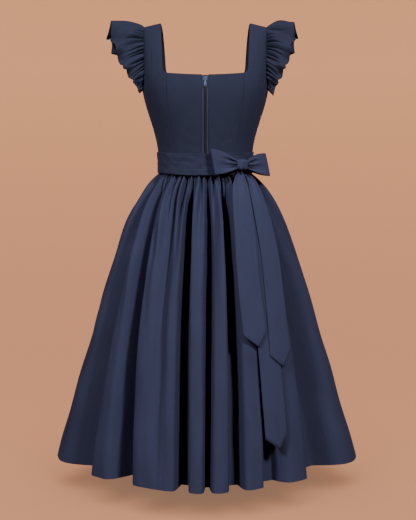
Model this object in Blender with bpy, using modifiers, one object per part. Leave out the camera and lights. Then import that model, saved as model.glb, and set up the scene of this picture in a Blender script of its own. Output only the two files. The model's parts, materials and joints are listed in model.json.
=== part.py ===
"""A sleeveless dirndl, filled out as if worn: zipped bodice, gathered skirt, ruffled armholes and tied sash.

Metres, +Z up. The front faces -Y, and +X is the wearer's left, which is the viewer's right.
The origin is midway between the two straps, level with the top of their inner corners.
Each piece that a maker would cut is one object: an open surface with a Solidify modifier that gives it the
thickness of its cloth. Neighbouring pieces stop short of each other by half of SEAM_GAP.
"""

import math
from collections import namedtuple

import bmesh
import bpy
from mathutils import Matrix, Vector

# ---------------------------------------------------------------- driving dimensions

CLOTH = 0.0015  # bodice and skirt cotton with its turnings
SASH_CLOTH = 0.0020  # the sash is sewn double
RUFFLE_CLOTH = 0.0013
SEAM_GAP = 0.0003
SEAM_TRIM = 0.0003  # what a piece gives up at a seam, so that the gap holds through the curved wall
HIDDEN_GAP = 0.0005  # between layers that lie on each other
SASH_GAP = 0.0012  # between the band and the bodice under it

WAIST_Z = -0.3765  # seam of bodice and skirt, hidden under the sash
YOKE_Z = -0.1420  # level of the neckline's corners
UNDERARM_Z = -0.1710
BACK_NECK_Z = -0.1150
HEM_Z = -1.1166

FRONT_OPENING = 0.0170  # between the two centre front edges, over the zip
NECK_CORNER_X = 0.0965
NECK_SAG = 0.0060  # the neckline's middle hangs this much lower than its corners
STRAP_INNER_X = 0.1055  # just above the neckline's corner
STRAP_INNER_TOP_X = 0.1150
STRAP_OUTER_X = 0.1535
STRAP_OUTER_TOP_X = 0.1580
SHOULDER_DROP = 0.0095  # from the strap's inner to its outer corner

SASH_TOP_Z = -0.3290
SASH_BOTTOM_Z = -0.3825

# The waist hangs this much lower at the centre front than at the sides and the back.
WAIST_DIP = 0.0125
DIP_TOP_Z = -0.2000  # above this the bodice is level again
DIP_FADE_DROP = 0.27  # below the waist seam, where the skirt hangs level again

# ---------------------------------------------------------------- tables

Section = namedtuple("Section", "z half_width front_depth back_depth squareness")

# Outer surface of the bodice, from the waist seam up to the neckline's corners.
BODICE_SECTIONS = (
    Section(-0.3850, 0.1208, 0.0922, 0.0866, 2.15),
    Section(-0.3550, 0.1206, 0.0925, 0.0866, 2.15),
    Section(-0.3220, 0.1230, 0.0948, 0.0870, 2.20),
    Section(-0.2960, 0.1278, 0.0990, 0.0880, 2.25),
    Section(-0.2700, 0.1348, 0.1045, 0.0900, 2.30),
    Section(-0.2440, 0.1430, 0.1100, 0.0928, 2.35),
    Section(-0.2180, 0.1512, 0.1142, 0.0958, 2.42),
    Section(-0.1920, 0.1580, 0.1160, 0.0980, 2.52),
    Section(-0.1710, 0.1617, 0.1152, 0.0990, 2.62),
    Section(YOKE_Z, 0.1635, 0.1095, 0.0985, 2.80),
)
SHOULDER = Section(0.0, 0.1640, 0.0, 0.0, 3.0)

# The strap's side profile over the shoulder is a Bezier curve: how deep and how high its two handles are.
STRAP_HANDLE_LOW_Z = -0.0700
STRAP_FRONT_HANDLES = (0.0930, 0.0520)
STRAP_BACK_HANDLES = (0.0950, 0.0560)

# Where the bodice's pieces have their rows of points.
TORSO_HEIGHTS = (WAIST_Z, -0.345, -0.310, -0.275, -0.240, -0.205)
ARMHOLE_HEIGHTS = (-0.160, -0.150)
CORNER_LEVELS = (0.0, 0.018, 0.060)  # above the neckline's rounded corner
STRAP_LEVELS = (0.30, 0.55, 0.77, 0.93, 1.0)
STRAP_LEVEL_GAP = 0.1

SeamPoint = namedtuple("SeamPoint", "z x")

# Princess seams, mirrored for the other side. They start at the neckline's corners.
PRINCESS_SEAM = (
    SeamPoint(WAIST_Z, 0.0690),
    SeamPoint(-0.3350, 0.0745),
    SeamPoint(-0.2970, 0.0805),
    SeamPoint(-0.2460, 0.0895),
    SeamPoint(-0.2080, 0.0945),
    SeamPoint(YOKE_Z, NECK_CORNER_X),
)

Valley = namedtuple("Valley", "name waist_deg mid_deg hem_deg mid_depth hem_depth")

# The skirt's deep troughs, round the body: 0 is the centre front, 90 the wearer's left side.
# Each fold is the crest between two neighbours. Going down, the folds drift to the front and back centres.
VALLEYS = (
    Valley("right_side", -99, -103, -104, 0.036, 0.050),
    Valley("right_front", -66, -58, -53, 0.036, 0.052),
    Valley("right_inner", -50, -42, -34, 0.040, 0.056),
    Valley("right_split", -27, -24, -22, 0.024, 0.004),
    Valley("centre_right", -13, -12, -12, 0.038, 0.048),
    Valley("centre", 3, 3, 2, 0.036, 0.046),
    Valley("centre_left", 17, 15, 15, 0.038, 0.042),
    Valley("under_tails", 37, 32, 28, 0.026, 0.032),
    Valley("left_front", 62, 53, 48, 0.038, 0.054),
    Valley("left_side", 99, 103, 105, 0.036, 0.050),
    Valley("back_1", 118, 123, 127, 0.036, 0.046),
    Valley("back_2", 136, 142, 147, 0.040, 0.052),
    Valley("back_3", 156, 160, 164, 0.034, 0.044),
    Valley("back_4", 177, 178, 179, 0.040, 0.050),
    Valley("back_5", 198, 197, 195, 0.036, 0.048),
    Valley("back_6", 219, 215, 211, 0.038, 0.050),
    Valley("back_7", 240, 235, 231, 0.040, 0.052),
)
MID_DROP = 0.22  # below the waist seam, where the middle columns above hold
VALLEY_GROWTH = 0.07  # the drop in which a valley grows to most of its middle depth
HEM_SQUARENESS = 1.62  # the skirt's plan is an oval at the waist and grows more like a lozenge
HEM_RISE = 0.0060  # of the hem halfway between front and side
COLLAR_DROP = 0.0068  # the gathered edge stands straight this far down, behind the sash
SKIRT_ROWS = (0.0, COLLAR_DROP, 0.022, 0.056, 0.120, 0.240, 0.440, WAIST_Z - HEM_Z)
STEPS_PER_FOLD = 8
SIDE_SEAM_STEP = 4  # steps past the side valley, where the side seam runs

Flare = namedtuple("Flare", "waist slope puff")

# The skirt's crest line: waist + slope * drop + puff * (1 - exp(-drop / PUFF_DROP)).
SKIRT_WIDTH = Flare(0.1208, 0.2830, 0.0615)
SKIRT_FRONT = Flare(0.0922, 0.2220, 0.0460)
SKIRT_BACK = Flare(0.0866, 0.2140, 0.0480)
PUFF_DROP = 0.056

RibbonRow = namedtuple("RibbonRow", "x z width")

# Centre line of each sash tail from the knot down, with its width across.
TAIL_FRONT = (
    RibbonRow(0.0880, -0.3818, 0.018),
    RibbonRow(0.0865, -0.3980, 0.030),
    RibbonRow(0.0870, -0.4200, 0.042),
    RibbonRow(0.0900, -0.4620, 0.050),
    RibbonRow(0.0960, -0.5300, 0.054),
    RibbonRow(0.1010, -0.6080, 0.056),
    RibbonRow(0.1100, -0.7000, 0.058),
    RibbonRow(0.1190, -0.7700, 0.060),
)
TAIL_SIDE = (
    RibbonRow(0.1030, -0.3887, 0.017),
    RibbonRow(0.1140, -0.4000, 0.026),
    RibbonRow(0.1250, -0.4320, 0.038),
    RibbonRow(0.1400, -0.4930, 0.048),
    RibbonRow(0.1560, -0.5750, 0.053),
    RibbonRow(0.1660, -0.6640, 0.055),
    RibbonRow(0.1740, -0.7440, 0.057),
    RibbonRow(0.1800, -0.8200, 0.060),
)
TAIL_LONG = (
    RibbonRow(0.0990, -0.3898, 0.012),
    RibbonRow(0.1030, -0.4000, 0.024),
    RibbonRow(0.1110, -0.4320, 0.036),
    RibbonRow(0.1210, -0.4940, 0.048),
    RibbonRow(0.1330, -0.6040, 0.054),
    RibbonRow(0.1430, -0.7140, 0.057),
    RibbonRow(0.1530, -0.8240, 0.058),
    RibbonRow(0.1610, -0.9240, 0.059),
    RibbonRow(0.1680, -1.0080, 0.060),
)
# How far each tail's inner face stays from the skirt's crest line, as they lie on each other.
LAYER_LONG = 0.0011
LAYER_SIDE = 0.0037
LAYER_FRONT = 0.0063
TAIL_POINT = 0.036  # a tail's tip hangs this far below its shorter corner
TAIL_SHORTER = 0.009  # how much further down the point's inner corner starts

KNOT_CENTRE = Vector((0.0908, -0.0814, -0.3675))
KNOT_SIZE = Vector((0.0330, 0.0200, 0.0280))
KNOT_TURN_DEG = 30

Loop = namedtuple("Loop", "top bottom fullness")

# Each loop ends in a fold, from its top to its bottom corner.
LOOP_INNER = Loop(Vector((0.0118, -0.1120, -0.3310)), Vector((0.0232, -0.1120, -0.3930)), 0.0085)
LOOP_OUTER = Loop(Vector((0.1525, -0.0440, -0.3350)), Vector((0.1645, -0.0440, -0.3930)), 0.0095)
LOOP_PINCH = 0.020  # height of a loop where it enters the knot

# Ruffles at the armholes
RUFFLE_END_WIDTH = 0.007
RUFFLE_TOP_WIDTH_RIGHT = 0.092
RUFFLE_TOP_WIDTH_LEFT = 0.077
RUFFLE_FLUTES = 8
RUFFLE_STEPS_PER_FLUTE = 5
RUFFLE_ROWS = 3
RUFFLE_WAVE = 0.150  # of a flute at the edge, as a share of the ruffle's width
RUFFLE_LIFT_TOP_DEG = 13
RUFFLE_LIFT_END_DEG = 38
RUFFLE_DROOP_DEG = 55
RUFFLE_START_LEVEL = -0.018  # how far below the yoke level the ruffle starts

# Zip
ZIP_TAPE = 0.0010
ZIP_TAPE_WIDTH = 0.0125
ZIP_CHAIN_WIDTH = 0.0058
ZIP_CHAIN_THICK = 0.0024
ZIP_TOP_Z = -0.1500
ZIP_BOTTOM_Z = -0.3745
SLIDER_Z = -0.1590
SLIDER_LENGTH = 0.0105
SLIDER_WIDTH = 0.0092
SLIDER_PLATE = 0.0013
SLIDER_BEVEL = 0.0004
SLIDER_NECK_WIDTH = 0.0041
SLIDER_NECK_HEIGHT = 0.0032
CROWN_WIDTH = 0.0018
CROWN_HEIGHT = 0.0074
CROWN_WALL = 0.0012
CROWN_HOLE_HEIGHT = 0.0044
PULL_LENGTH = 0.0215
PULL_WIDTH = 0.0066
PULL_THICK = 0.0010
PULL_BAR = 0.0011
PULL_HOLE = 0.0032
PULL_NECK_WIDTH = 0.0050
PULL_SHOULDER = 0.0062  # below its axis the pull widens
PULL_EYE = 0.0050

# Colours, linear RGB
NAVY = (0.030, 0.036, 0.075)
NAVY_SASH = (0.036, 0.043, 0.088)
TAPE_BLACK = (0.006, 0.006, 0.008)
GUNMETAL = (0.22, 0.27, 0.36)


# ---------------------------------------------------------------- small tools


def clear_scene():
    for obj in list(bpy.data.objects):
        bpy.data.objects.remove(obj, do_unlink=True)


def new_collection(name):
    collection = bpy.data.collections.new(name)
    bpy.context.scene.collection.children.link(collection)
    return collection


def principled(name, colour, roughness, metallic=0.0):
    material = bpy.data.materials.new(name)
    material.use_nodes = True
    shader = material.node_tree.nodes["Principled BSDF"]
    shader.inputs["Base Color"].default_value = (*colour, 1.0)
    shader.inputs["Roughness"].default_value = roughness
    shader.inputs["Metallic"].default_value = metallic
    return material


def smoothstep(value):
    value = min(1.0, max(0.0, value))
    return value * value * (3 - 2 * value)


def spline(xs, ys, x):
    """A smooth curve through the points (xs, ys), xs rising, read at x. It runs straight on past its end."""
    i = min(max(sum(x >= known for known in xs) - 1, 0), len(xs) - 2)

    def slope(k):
        low, high = max(k - 1, 0), min(k + 1, len(xs) - 1)
        return (ys[high] - ys[low]) / (xs[high] - xs[low])

    step = xs[i + 1] - xs[i]
    if x > xs[-1]:
        return ys[-1] + slope(len(xs) - 1) * (x - xs[-1])
    t = (x - xs[i]) / step
    return (
        (2 * t**3 - 3 * t**2 + 1) * ys[i]
        + (t**3 - 2 * t**2 + t) * step * slope(i)
        + (3 * t**2 - 2 * t**3) * ys[i + 1]
        + (t**3 - t**2) * step * slope(i + 1)
    )


def along_table(table, column, key, value):
    """One column of a table of rows, read at a value of its key column."""
    return spline([getattr(row, key) for row in table], [getattr(row, column) for row in table], value)


def bezier(p0, p1, p2, p3, t):
    s = 1 - t
    return s**3 * p0 + 3 * s**2 * t * p1 + 3 * s * t**2 * p2 + t**3 * p3


# ---------------------------------------------------------------- cloth as solids


def mesh_from_rows(name, rows, wrap=False):
    """A surface through rows of points. Columns run to the right and rows upwards, seen from outside."""
    columns = len(rows[0])
    faces = []
    for r in range(len(rows) - 1):
        low = r * columns
        high = low + columns
        for c in range(columns if wrap else columns - 1):
            right = (c + 1) % columns
            faces.append((low + c, low + right, high + right, high + c))
    mesh = bpy.data.meshes.new(name)
    mesh.from_pydata([p for row in rows for p in row], [], faces)
    mesh.update()
    return mesh


def cloth(name, rows, thickness, material, collection, wrap=False, offset=-1.0):
    """A piece of cloth: the surface is its outer face, and Solidify thickens it inwards."""
    mesh = mesh_from_rows(name, rows, wrap)
    mesh.materials.append(material)
    mesh.shade_smooth()
    piece = bpy.data.objects.new(name, mesh)
    collection.objects.link(piece)
    wall = piece.modifiers.new("Thickness", "SOLIDIFY")
    wall.thickness = thickness
    wall.offset = offset
    wall.use_even_offset = True
    wall.use_quality_normals = True
    return piece


def step_back(edge, inner):
    """The points of an edge, moved half a seam gap towards their neighbours inside the piece."""
    return [p + (q - p).normalized() * SEAM_TRIM for p, q in zip(edge, inner)]


def trim_for_seams(rows, left=False, right=False, bottom=False, top=False):
    """Makes room for the seam gap along the named edges of a piece."""
    rows = [list(row) for row in rows]
    if bottom:
        rows[0] = step_back(rows[0], rows[1])
    if top:
        rows[-1] = step_back(rows[-1], rows[-2])
    if left:
        for row in rows:
            row[0] = step_back(row[:1], row[1:2])[0]
    if right:
        for row in rows:
            row[-1] = step_back(row[-1:], row[-2:-1])[0]
    return rows


def mirrored(rows):
    """The same piece on the other side of the body, with its columns running to the right again."""
    return [[Vector((-p.x, p.y, p.z)) for p in reversed(row)] for row in rows]


# ---------------------------------------------------------------- the bodice's form


def section_at(level):
    """The bodice's section. Below 0 a level is metres under the yoke; 0 to 1 runs up a strap."""
    if level <= 0:
        z = YOKE_Z + level
        columns = Section._fields[1:]
        return Section(z, *(along_table(BODICE_SECTIONS, column, "z", z) for column in columns))
    yoke = BODICE_SECTIONS[-1]
    front = bezier(yoke.front_depth, *STRAP_FRONT_HANDLES, 0.0, level)
    back = bezier(yoke.back_depth, *STRAP_BACK_HANDLES, 0.0, level)
    half_width = yoke.half_width + (SHOULDER.half_width - yoke.half_width) * level
    squareness = yoke.squareness + (SHOULDER.squareness - yoke.squareness) * level
    return Section(bezier(YOKE_Z, STRAP_HANDLE_LOW_Z, 0.0, 0.0, level), half_width, front, back, squareness)


def level_at(z):
    """The level of a height, found by halving where it lies on the straps."""
    if z <= YOKE_Z:
        return z - YOKE_Z
    low, high = 0.0, 1.0
    for _ in range(40):
        middle = (low + high) / 2
        if section_at(middle).z < z:
            low = middle
        else:
            high = middle
    return low


def waist_dip(cosine, share):
    """How far a point is let down by the waist's dip: all of it at share 1, at the centre front."""
    return WAIST_DIP * max(0.0, cosine) ** 1.3 * smoothstep(share)


def body_point(level, turn, outwards=0.0):
    """A point on the bodice's outer face. Turn 0 is centre front, 90 the wearer's left, 180 the back."""
    s = section_at(level)
    sine, cosine = math.sin(math.radians(turn)), math.cos(math.radians(turn))
    power = 2 / s.squareness
    depth = (s.front_depth if cosine >= 0 else s.back_depth) + outwards
    x = (s.half_width + outwards) * math.copysign(abs(sine) ** power, sine)
    y = -depth * math.copysign(abs(cosine) ** power, cosine)
    past_corner = (abs(x) - STRAP_INNER_TOP_X) / (STRAP_OUTER_TOP_X - STRAP_INNER_TOP_X)
    z = s.z - SHOULDER_DROP * past_corner * smoothstep(max(level, 0.0))
    return Vector((x, y, z - waist_dip(cosine, (DIP_TOP_Z - s.z) / (DIP_TOP_Z - SASH_TOP_Z))))


def turn_at(level, x):
    """The turn, from 0 to 90, at which the section is x from the middle."""
    s = section_at(level)
    return math.degrees(math.asin(min(1.0, abs(x) / s.half_width) ** (s.squareness / 2)))


def strap_inner_x(level):
    """The strap's inner edge: a rounded corner at the neckline, then a straight run up to the shoulder."""
    corner = NECK_CORNER_X + (STRAP_INNER_X - NECK_CORNER_X) * (1 - math.exp(-level / 0.018))
    return corner + (STRAP_INNER_TOP_X - STRAP_INNER_X) * level


def princess_x(z):
    return along_table(PRINCESS_SEAM, "x", "z", z)


def armhole_turn(level):
    """How far round the armhole's edge lies: at the side under the arm, then on the strap's outer edge."""
    if level <= UNDERARM_Z - YOKE_Z:
        return 90.0
    if level < 0:
        share = 1 - level / (UNDERARM_Z - YOKE_Z)
        return 90 - (90 - turn_at(0.0, STRAP_OUTER_X)) * math.sin(math.radians(90 * share))
    return turn_at(level, STRAP_OUTER_X + (STRAP_OUTER_TOP_X - STRAP_OUTER_X) * level)


def side_levels(corner_level):
    """Levels of a side panel's rows, from the waist seam to the shoulder, close together round the corner."""
    torso = [z - YOKE_Z for z in (*TORSO_HEIGHTS, UNDERARM_Z, *ARMHOLE_HEIGHTS)]
    corner = sorted({0.0, *(corner_level + above for above in CORNER_LEVELS)})
    strap = [level for level in STRAP_LEVELS if level > corner_level + STRAP_LEVEL_GAP]
    return torso + corner + strap


def side_panel(front, columns=5):
    """The wearer's left side panel with its strap, of the front or of the back."""
    corner_level = 0.0 if front else level_at(BACK_NECK_Z)
    rows = []
    for level in side_levels(corner_level):
        if level <= corner_level:
            inner = turn_at(level, princess_x(min(section_at(level).z, YOKE_Z)))
        else:
            inner = turn_at(level, strap_inner_x(level - corner_level))
        outer = armhole_turn(level)
        turns = [inner + (outer - inner) * c / columns for c in range(columns + 1)]
        if not front:
            turns = [180 - turn for turn in reversed(turns)]
        rows.append([body_point(level, turn) for turn in turns])
    return trim_for_seams(rows, left=True, right=True, bottom=True, top=True)


def neckline_z(x):
    return YOKE_Z - NECK_SAG * (1 - (x / NECK_CORNER_X) ** 2)


def front_panel(columns=4, rows_up=7):
    """The wearer's left centre front, from the zip's edge to the princess seam."""
    rows = []
    for r in range(rows_up + 1):
        up = r / rows_up
        row = []
        for c in range(columns + 1):
            top_x = FRONT_OPENING / 2 + (NECK_CORNER_X - FRONT_OPENING / 2) * c / columns
            z = WAIST_Z + (neckline_z(top_x) - WAIST_Z) * up
            x = FRONT_OPENING / 2 + (princess_x(z) - FRONT_OPENING / 2) * c / columns
            row.append(body_point(z - YOKE_Z, turn_at(z - YOKE_Z, x)))
        rows.append(row)
    return trim_for_seams(rows, right=True, bottom=True)


def back_panel(columns=8):
    """The centre back, between the two back princess seams."""
    rows = []
    for z in (*TORSO_HEIGHTS, UNDERARM_Z, YOKE_Z, BACK_NECK_Z):
        level = level_at(z)
        seam = turn_at(level, princess_x(min(z, YOKE_Z)))
        rows.append([body_point(level, 180 - seam + 2 * seam * c / columns) for c in range(columns + 1)])
    return trim_for_seams(rows, left=True, right=True, bottom=True)


# ---------------------------------------------------------------- skirt


def flared(flare, drop):
    below = max(0.0, drop - COLLAR_DROP)
    return flare.waist + flare.slope * below + flare.puff * (1 - math.exp(-below / PUFF_DROP))


def valley_angle(valley, drop):
    """A valley's place round the body, drifting from its waist angle through the middle one to the hem's."""
    share = drop / MID_DROP
    if share < 1:
        return valley.waist_deg + (valley.mid_deg - valley.waist_deg) * smoothstep(share)
    share = (drop - MID_DROP) / (WAIST_Z - HEM_Z - MID_DROP)
    return valley.mid_deg + (valley.hem_deg - valley.mid_deg) * share


def valley_depth(valley, drop):
    """It grows fast below the gathers, then evenly from the middle depth to the hem's."""
    below = max(0.0, drop - COLLAR_DROP)
    grown = valley.mid_depth * (1 - math.exp(-((below / VALLEY_GROWTH) ** 1.3)))
    past_middle = max(0.0, (drop - MID_DROP) / (WAIST_Z - HEM_Z - MID_DROP))
    return grown + (valley.hem_depth - valley.mid_depth) * past_middle


def skirt_squareness(drop):
    top = BODICE_SECTIONS[0].squareness
    return top + (HEM_SQUARENESS - top) * drop / (WAIST_Z - HEM_Z)


def skirt_dip(cosine, drop):
    return waist_dip(cosine, (DIP_FADE_DROP - drop) / (DIP_FADE_DROP - COLLAR_DROP))


def hem_rise(turn, drop):
    return HEM_RISE * math.sin(2 * turn) ** 2 * smoothstep(drop / (WAIST_Z - HEM_Z))


def skirt_point(fold, share, drop):
    """A point on the fold that follows valley number fold, at a share of the way to the next valley.

    The walls are steep and the crest is broad: a sine brings the points near the valleys together.
    """
    left = VALLEYS[fold % len(VALLEYS)]
    right = VALLEYS[(fold + 1) % len(VALLEYS)]
    turn_left = valley_angle(left, drop)
    turn_right = valley_angle(right, drop)
    if turn_right < turn_left:
        turn_right += 360
    across = share - 0.88 * math.sin(2 * math.pi * share) / (2 * math.pi)
    turn = math.radians(turn_left + (turn_right - turn_left) * across)
    depth = valley_depth(left, drop) * (1 - share) + valley_depth(right, drop) * share
    inwards = depth * math.cos(math.pi * share) ** 6
    sine, cosine = math.sin(turn), math.cos(turn)
    half_depth = flared(SKIRT_FRONT if cosine >= 0 else SKIRT_BACK, drop) - inwards
    half_width = flared(SKIRT_WIDTH, drop) - inwards
    power = 2 / skirt_squareness(drop)
    return Vector((
        half_width * math.copysign(abs(sine) ** power, sine),
        -half_depth * math.copysign(abs(cosine) ** power, cosine),
        WAIST_Z - drop + hem_rise(turn, drop) - skirt_dip(cosine, drop),
    ))


def skirt_panel(first_fold, last_fold):
    """A panel from the side seam in one fold to the side seam in another."""
    count = (last_fold - first_fold) * STEPS_PER_FOLD
    start = first_fold * STEPS_PER_FOLD + SIDE_SEAM_STEP
    steps = [divmod(start + i, STEPS_PER_FOLD) for i in range(count + 1)]
    rows = [
        [skirt_point(fold, step / STEPS_PER_FOLD, drop) for fold, step in steps]
        for drop in reversed(SKIRT_ROWS)
    ]
    return trim_for_seams(rows, left=True, right=True, top=True)


# ---------------------------------------------------------------- ruffles


def armhole_path(samples=49):
    """Points along the wearer's left armhole edge, from the front over the shoulder and down the back."""
    half = samples // 2
    below_yoke = half // 4
    levels = [RUFFLE_START_LEVEL * (1 - i / below_yoke) for i in range(below_yoke)]
    levels += [i / (half - below_yoke) for i in range(half - below_yoke + 1)]
    front = [body_point(level, armhole_turn(level)) for level in levels]
    back = [body_point(level, 180 - armhole_turn(level)) for level in reversed(levels[:-1])]
    return front + back


def resampled(points, count):
    """The same path as count + 1 points, evenly spaced."""
    lengths = [0.0]
    for a, b in zip(points, points[1:]):
        lengths.append(lengths[-1] + (b - a).length)
    even = []
    k = 0
    for i in range(count + 1):
        wanted = lengths[-1] * i / count
        while k < len(lengths) - 2 and lengths[k + 1] < wanted:
            k += 1
        even.append(points[k].lerp(points[k + 1], (wanted - lengths[k]) / (lengths[k + 1] - lengths[k])))
    return even


def ruffle(top_width):
    """The wearer's left ruffle: a strip gathered to the armhole, fluting more and more towards its edge."""
    count = RUFFLE_FLUTES * RUFFLE_STEPS_PER_FLUTE
    path = resampled(armhole_path(), count)
    rows = [[] for _ in range(RUFFLE_ROWS + 1)]
    for i, start in enumerate(path):
        share = i / count
        rise = math.sin(math.pi * share)
        ahead = path[min(i + 1, count)] - path[max(i - 1, 0)]
        tangent = Vector((0, ahead.y, ahead.z)).normalized()
        outward = Vector((0, -tangent.z, tangent.y))
        width = RUFFLE_END_WIDTH + (top_width - RUFFLE_END_WIDTH) * rise**1.1
        lift = math.radians(RUFFLE_LIFT_END_DEG + (RUFFLE_LIFT_TOP_DEG - RUFFLE_LIFT_END_DEG) * rise)
        droop = math.radians(RUFFLE_DROOP_DEG) * (1 - rise) ** 0.5
        reach = Vector((math.cos(lift), 0, 0)) + outward * math.sin(lift)
        normal = outward * math.cos(lift) - Vector((math.sin(lift), 0, 0))
        reach = reach * math.cos(droop) - Vector((0, 0, math.sin(droop)))
        wave = math.sin(2 * math.pi * RUFFLE_FLUTES * share)
        for r, row in enumerate(rows):
            out = r / RUFFLE_ROWS
            point = start + Vector((SEAM_GAP + RUFFLE_CLOTH / 2, 0, 0)) + reach * width * out
            row.append(point + normal * (wave * RUFFLE_WAVE * width * out**1.2))
    return rows


# ---------------------------------------------------------------- sash


def sash_band(columns=40):
    """The band round the waist, clear of the bodice and of the skirt's gathered edge."""
    clear = SASH_GAP + SASH_CLOTH
    heights = (SASH_BOTTOM_Z, -0.3550, SASH_TOP_Z)
    return [[body_point(z - YOKE_Z, 360 * c / columns, clear) for c in range(columns)] for z in heights]


def lift_at(x, drop):
    """How much higher the skirt's front hangs at x than at its sides, from the waist's dip and the hem's rise."""
    share = min(1.0, x / flared(SKIRT_WIDTH, drop))
    turn = math.asin(share ** (skirt_squareness(drop) / 2))
    return hem_rise(turn, drop) - skirt_dip(math.cos(turn), drop)


def drape_point(x, z, outwards):
    """A point before the skirt's crest line, a distance outwards from it, measured square to its slope."""
    drop = max(0.0, WAIST_Z - z + lift_at(x, WAIST_Z - z))
    power = skirt_squareness(drop)
    below = max(0.0, drop - COLLAR_DROP)
    steepness = SKIRT_WIDTH.slope + SKIRT_WIDTH.puff / PUFF_DROP * math.exp(-below / PUFF_DROP)
    level = outwards * math.hypot(1, steepness if below > 0 else steepness / 2)
    share = min(1.0, x / (flared(SKIRT_WIDTH, drop) + level))
    return Vector((x, -(flared(SKIRT_FRONT, drop) + level) * (1 - share**power) ** (1 / power), z))


def tip_drop(share):
    """How far a tail's end runs on below its last row: a slant to a point that is nearer the outer edge."""
    point_at = 2 / 3
    if share <= point_at:
        return TAIL_SHORTER + (TAIL_POINT - TAIL_SHORTER) * share / point_at
    return TAIL_POINT * (1 - (share - point_at) / (1 - point_at))


def tail_heights(table):
    """The skirt's own row heights between a tail's two ends, so that both lie along the same slopes."""
    top, bottom = table[0].z, table[-1].z
    heights = [top]
    for drop in SKIRT_ROWS:
        z = WAIST_Z - drop
        if bottom < z < top:
            z += lift_at(along_table(table[::-1], "x", "z", z), drop)
        if bottom + 0.03 < z < heights[-1] - 0.001:
            heights.append(z)
    return [*heights, bottom]


def tail(table, layer, columns=3):
    """A sash end from the knot down to its slanted point, lying along the skirt under it."""
    outwards = layer + SASH_CLOTH
    rising = table[::-1]
    step = 0.002
    rows = []
    for z in tail_heights(table):
        x = along_table(rising, "x", "z", z)
        width = along_table(rising, "width", "z", z)
        centre = drape_point(x, z, outwards)
        across = (drape_point(x + step, z, outwards) - centre).normalized()
        offsets = [width * (c / columns - 0.5) for c in range(columns + 1)]
        rows.append([drape_point(x + across.x * offset, z, outwards) for offset in offsets])
    runs = [(end - start).normalized() for start, end in zip(rows[-2], rows[-1])]
    rows[-1] = [end + run * tip_drop(c / columns) for c, (end, run) in enumerate(zip(rows[-1], runs))]
    return rows[::-1]


def bow_loop(loop, columns=14, rows_up=4):
    """A loop of the bow: out along its front, round its fold and back behind, pinched at the knot."""
    turn = math.radians(KNOT_TURN_DEG)
    side = 1 if loop.top.x > KNOT_CENTRE.x else -1
    knot_axis = Vector((math.cos(turn), math.sin(turn), 0)) * side
    start = KNOT_CENTRE + knot_axis * (KNOT_SIZE.x / 2 + 2 * SEAM_GAP)
    along = (loop.top + loop.bottom) / 2 - start
    front = Vector((along.y, -along.x, 0)).normalized() * side
    rows = []
    for r in range(rows_up + 1):
        up = r / rows_up
        tip = loop.bottom.lerp(loop.top, up)
        root = start + Vector((0, 0, LOOP_PINCH * (up - 0.5)))
        row = []
        for c in range(columns + 1):
            round_it = math.pi * c / columns
            out = math.sin(round_it) ** 0.8
            spread = smoothstep((out - 0.05) / 0.70)
            point = root.lerp(tip, out)
            point.z = root.z + (tip.z - root.z) * spread
            bulge = loop.fullness * math.cos(round_it) * (0.30 + math.sin(round_it))
            row.append(point + front * bulge)
        rows.append(row if side < 0 else list(reversed(row)))
    return [list(reversed(row)) for row in rows]


def knot(material, collection):
    """The tied knot: a short, soft barrel on the band."""
    mesh = bpy.data.meshes.new("sash_knot")
    shape = bmesh.new()
    bmesh.ops.create_uvsphere(shape, u_segments=14, v_segments=8, radius=1.0)
    for vertex in shape.verts:
        vertex.co = [math.copysign(abs(value) ** 0.72, value) for value in vertex.co]
    bmesh.ops.scale(shape, vec=KNOT_SIZE / 2, verts=shape.verts)
    shape.to_mesh(mesh)
    shape.free()
    mesh.materials.append(material)
    mesh.shade_smooth()
    piece = bpy.data.objects.new("sash_knot", mesh)
    collection.objects.link(piece)
    piece.location = KNOT_CENTRE
    piece.rotation_euler = (0, 0, math.radians(KNOT_TURN_DEG))
    return piece


# ---------------------------------------------------------------- zip


def zip_point(z, x, inwards):
    """A point behind the centre front's outer face, at a distance inwards from it."""
    level = z - YOKE_Z
    return body_point(level, math.copysign(turn_at(level, x), x), -inwards)


def zip_tape():
    """The wearer's left half of the zip's tape, behind the centre front's edge."""
    inwards = CLOTH + HIDDEN_GAP
    inner_x = ZIP_CHAIN_WIDTH / 2 + SEAM_GAP
    rows = []
    for i in range(8):
        z = ZIP_BOTTOM_Z + (ZIP_TOP_Z - ZIP_BOTTOM_Z) * i / 7
        rows.append([zip_point(z, inner_x + ZIP_TAPE_WIDTH * share, inwards) for share in (0, 0.5, 1)])
    return rows


def zip_chain():
    """The closed teeth as one bar, between the two halves of the tape."""
    inwards = CLOTH + HIDDEN_GAP + (ZIP_TAPE - ZIP_CHAIN_THICK) / 2
    top = SLIDER_Z - SLIDER_LENGTH * 0.30
    rows = []
    for i in range(9):
        z = ZIP_BOTTOM_Z + (top - ZIP_BOTTOM_Z) * i / 8
        rows.append([zip_point(z, ZIP_CHAIN_WIDTH * side, inwards) for side in (-0.5, -0.2, 0.2, 0.5)])
    return rows


def zip_frame():
    """Where the slider stands: on the chain's middle, leaning as the front does there."""
    inwards = CLOTH + HIDDEN_GAP + ZIP_TAPE / 2
    middle = zip_point(SLIDER_Z, 0.0001, inwards)
    above = zip_point(SLIDER_Z + 0.004, 0.0001, inwards)
    below = zip_point(SLIDER_Z - 0.004, 0.0001, inwards)
    lean = math.atan2(above.y - below.y, above.z - below.z)
    return Matrix.Translation((0, middle.y, middle.z)) @ Matrix.Rotation(-lean, 4, "X")


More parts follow.
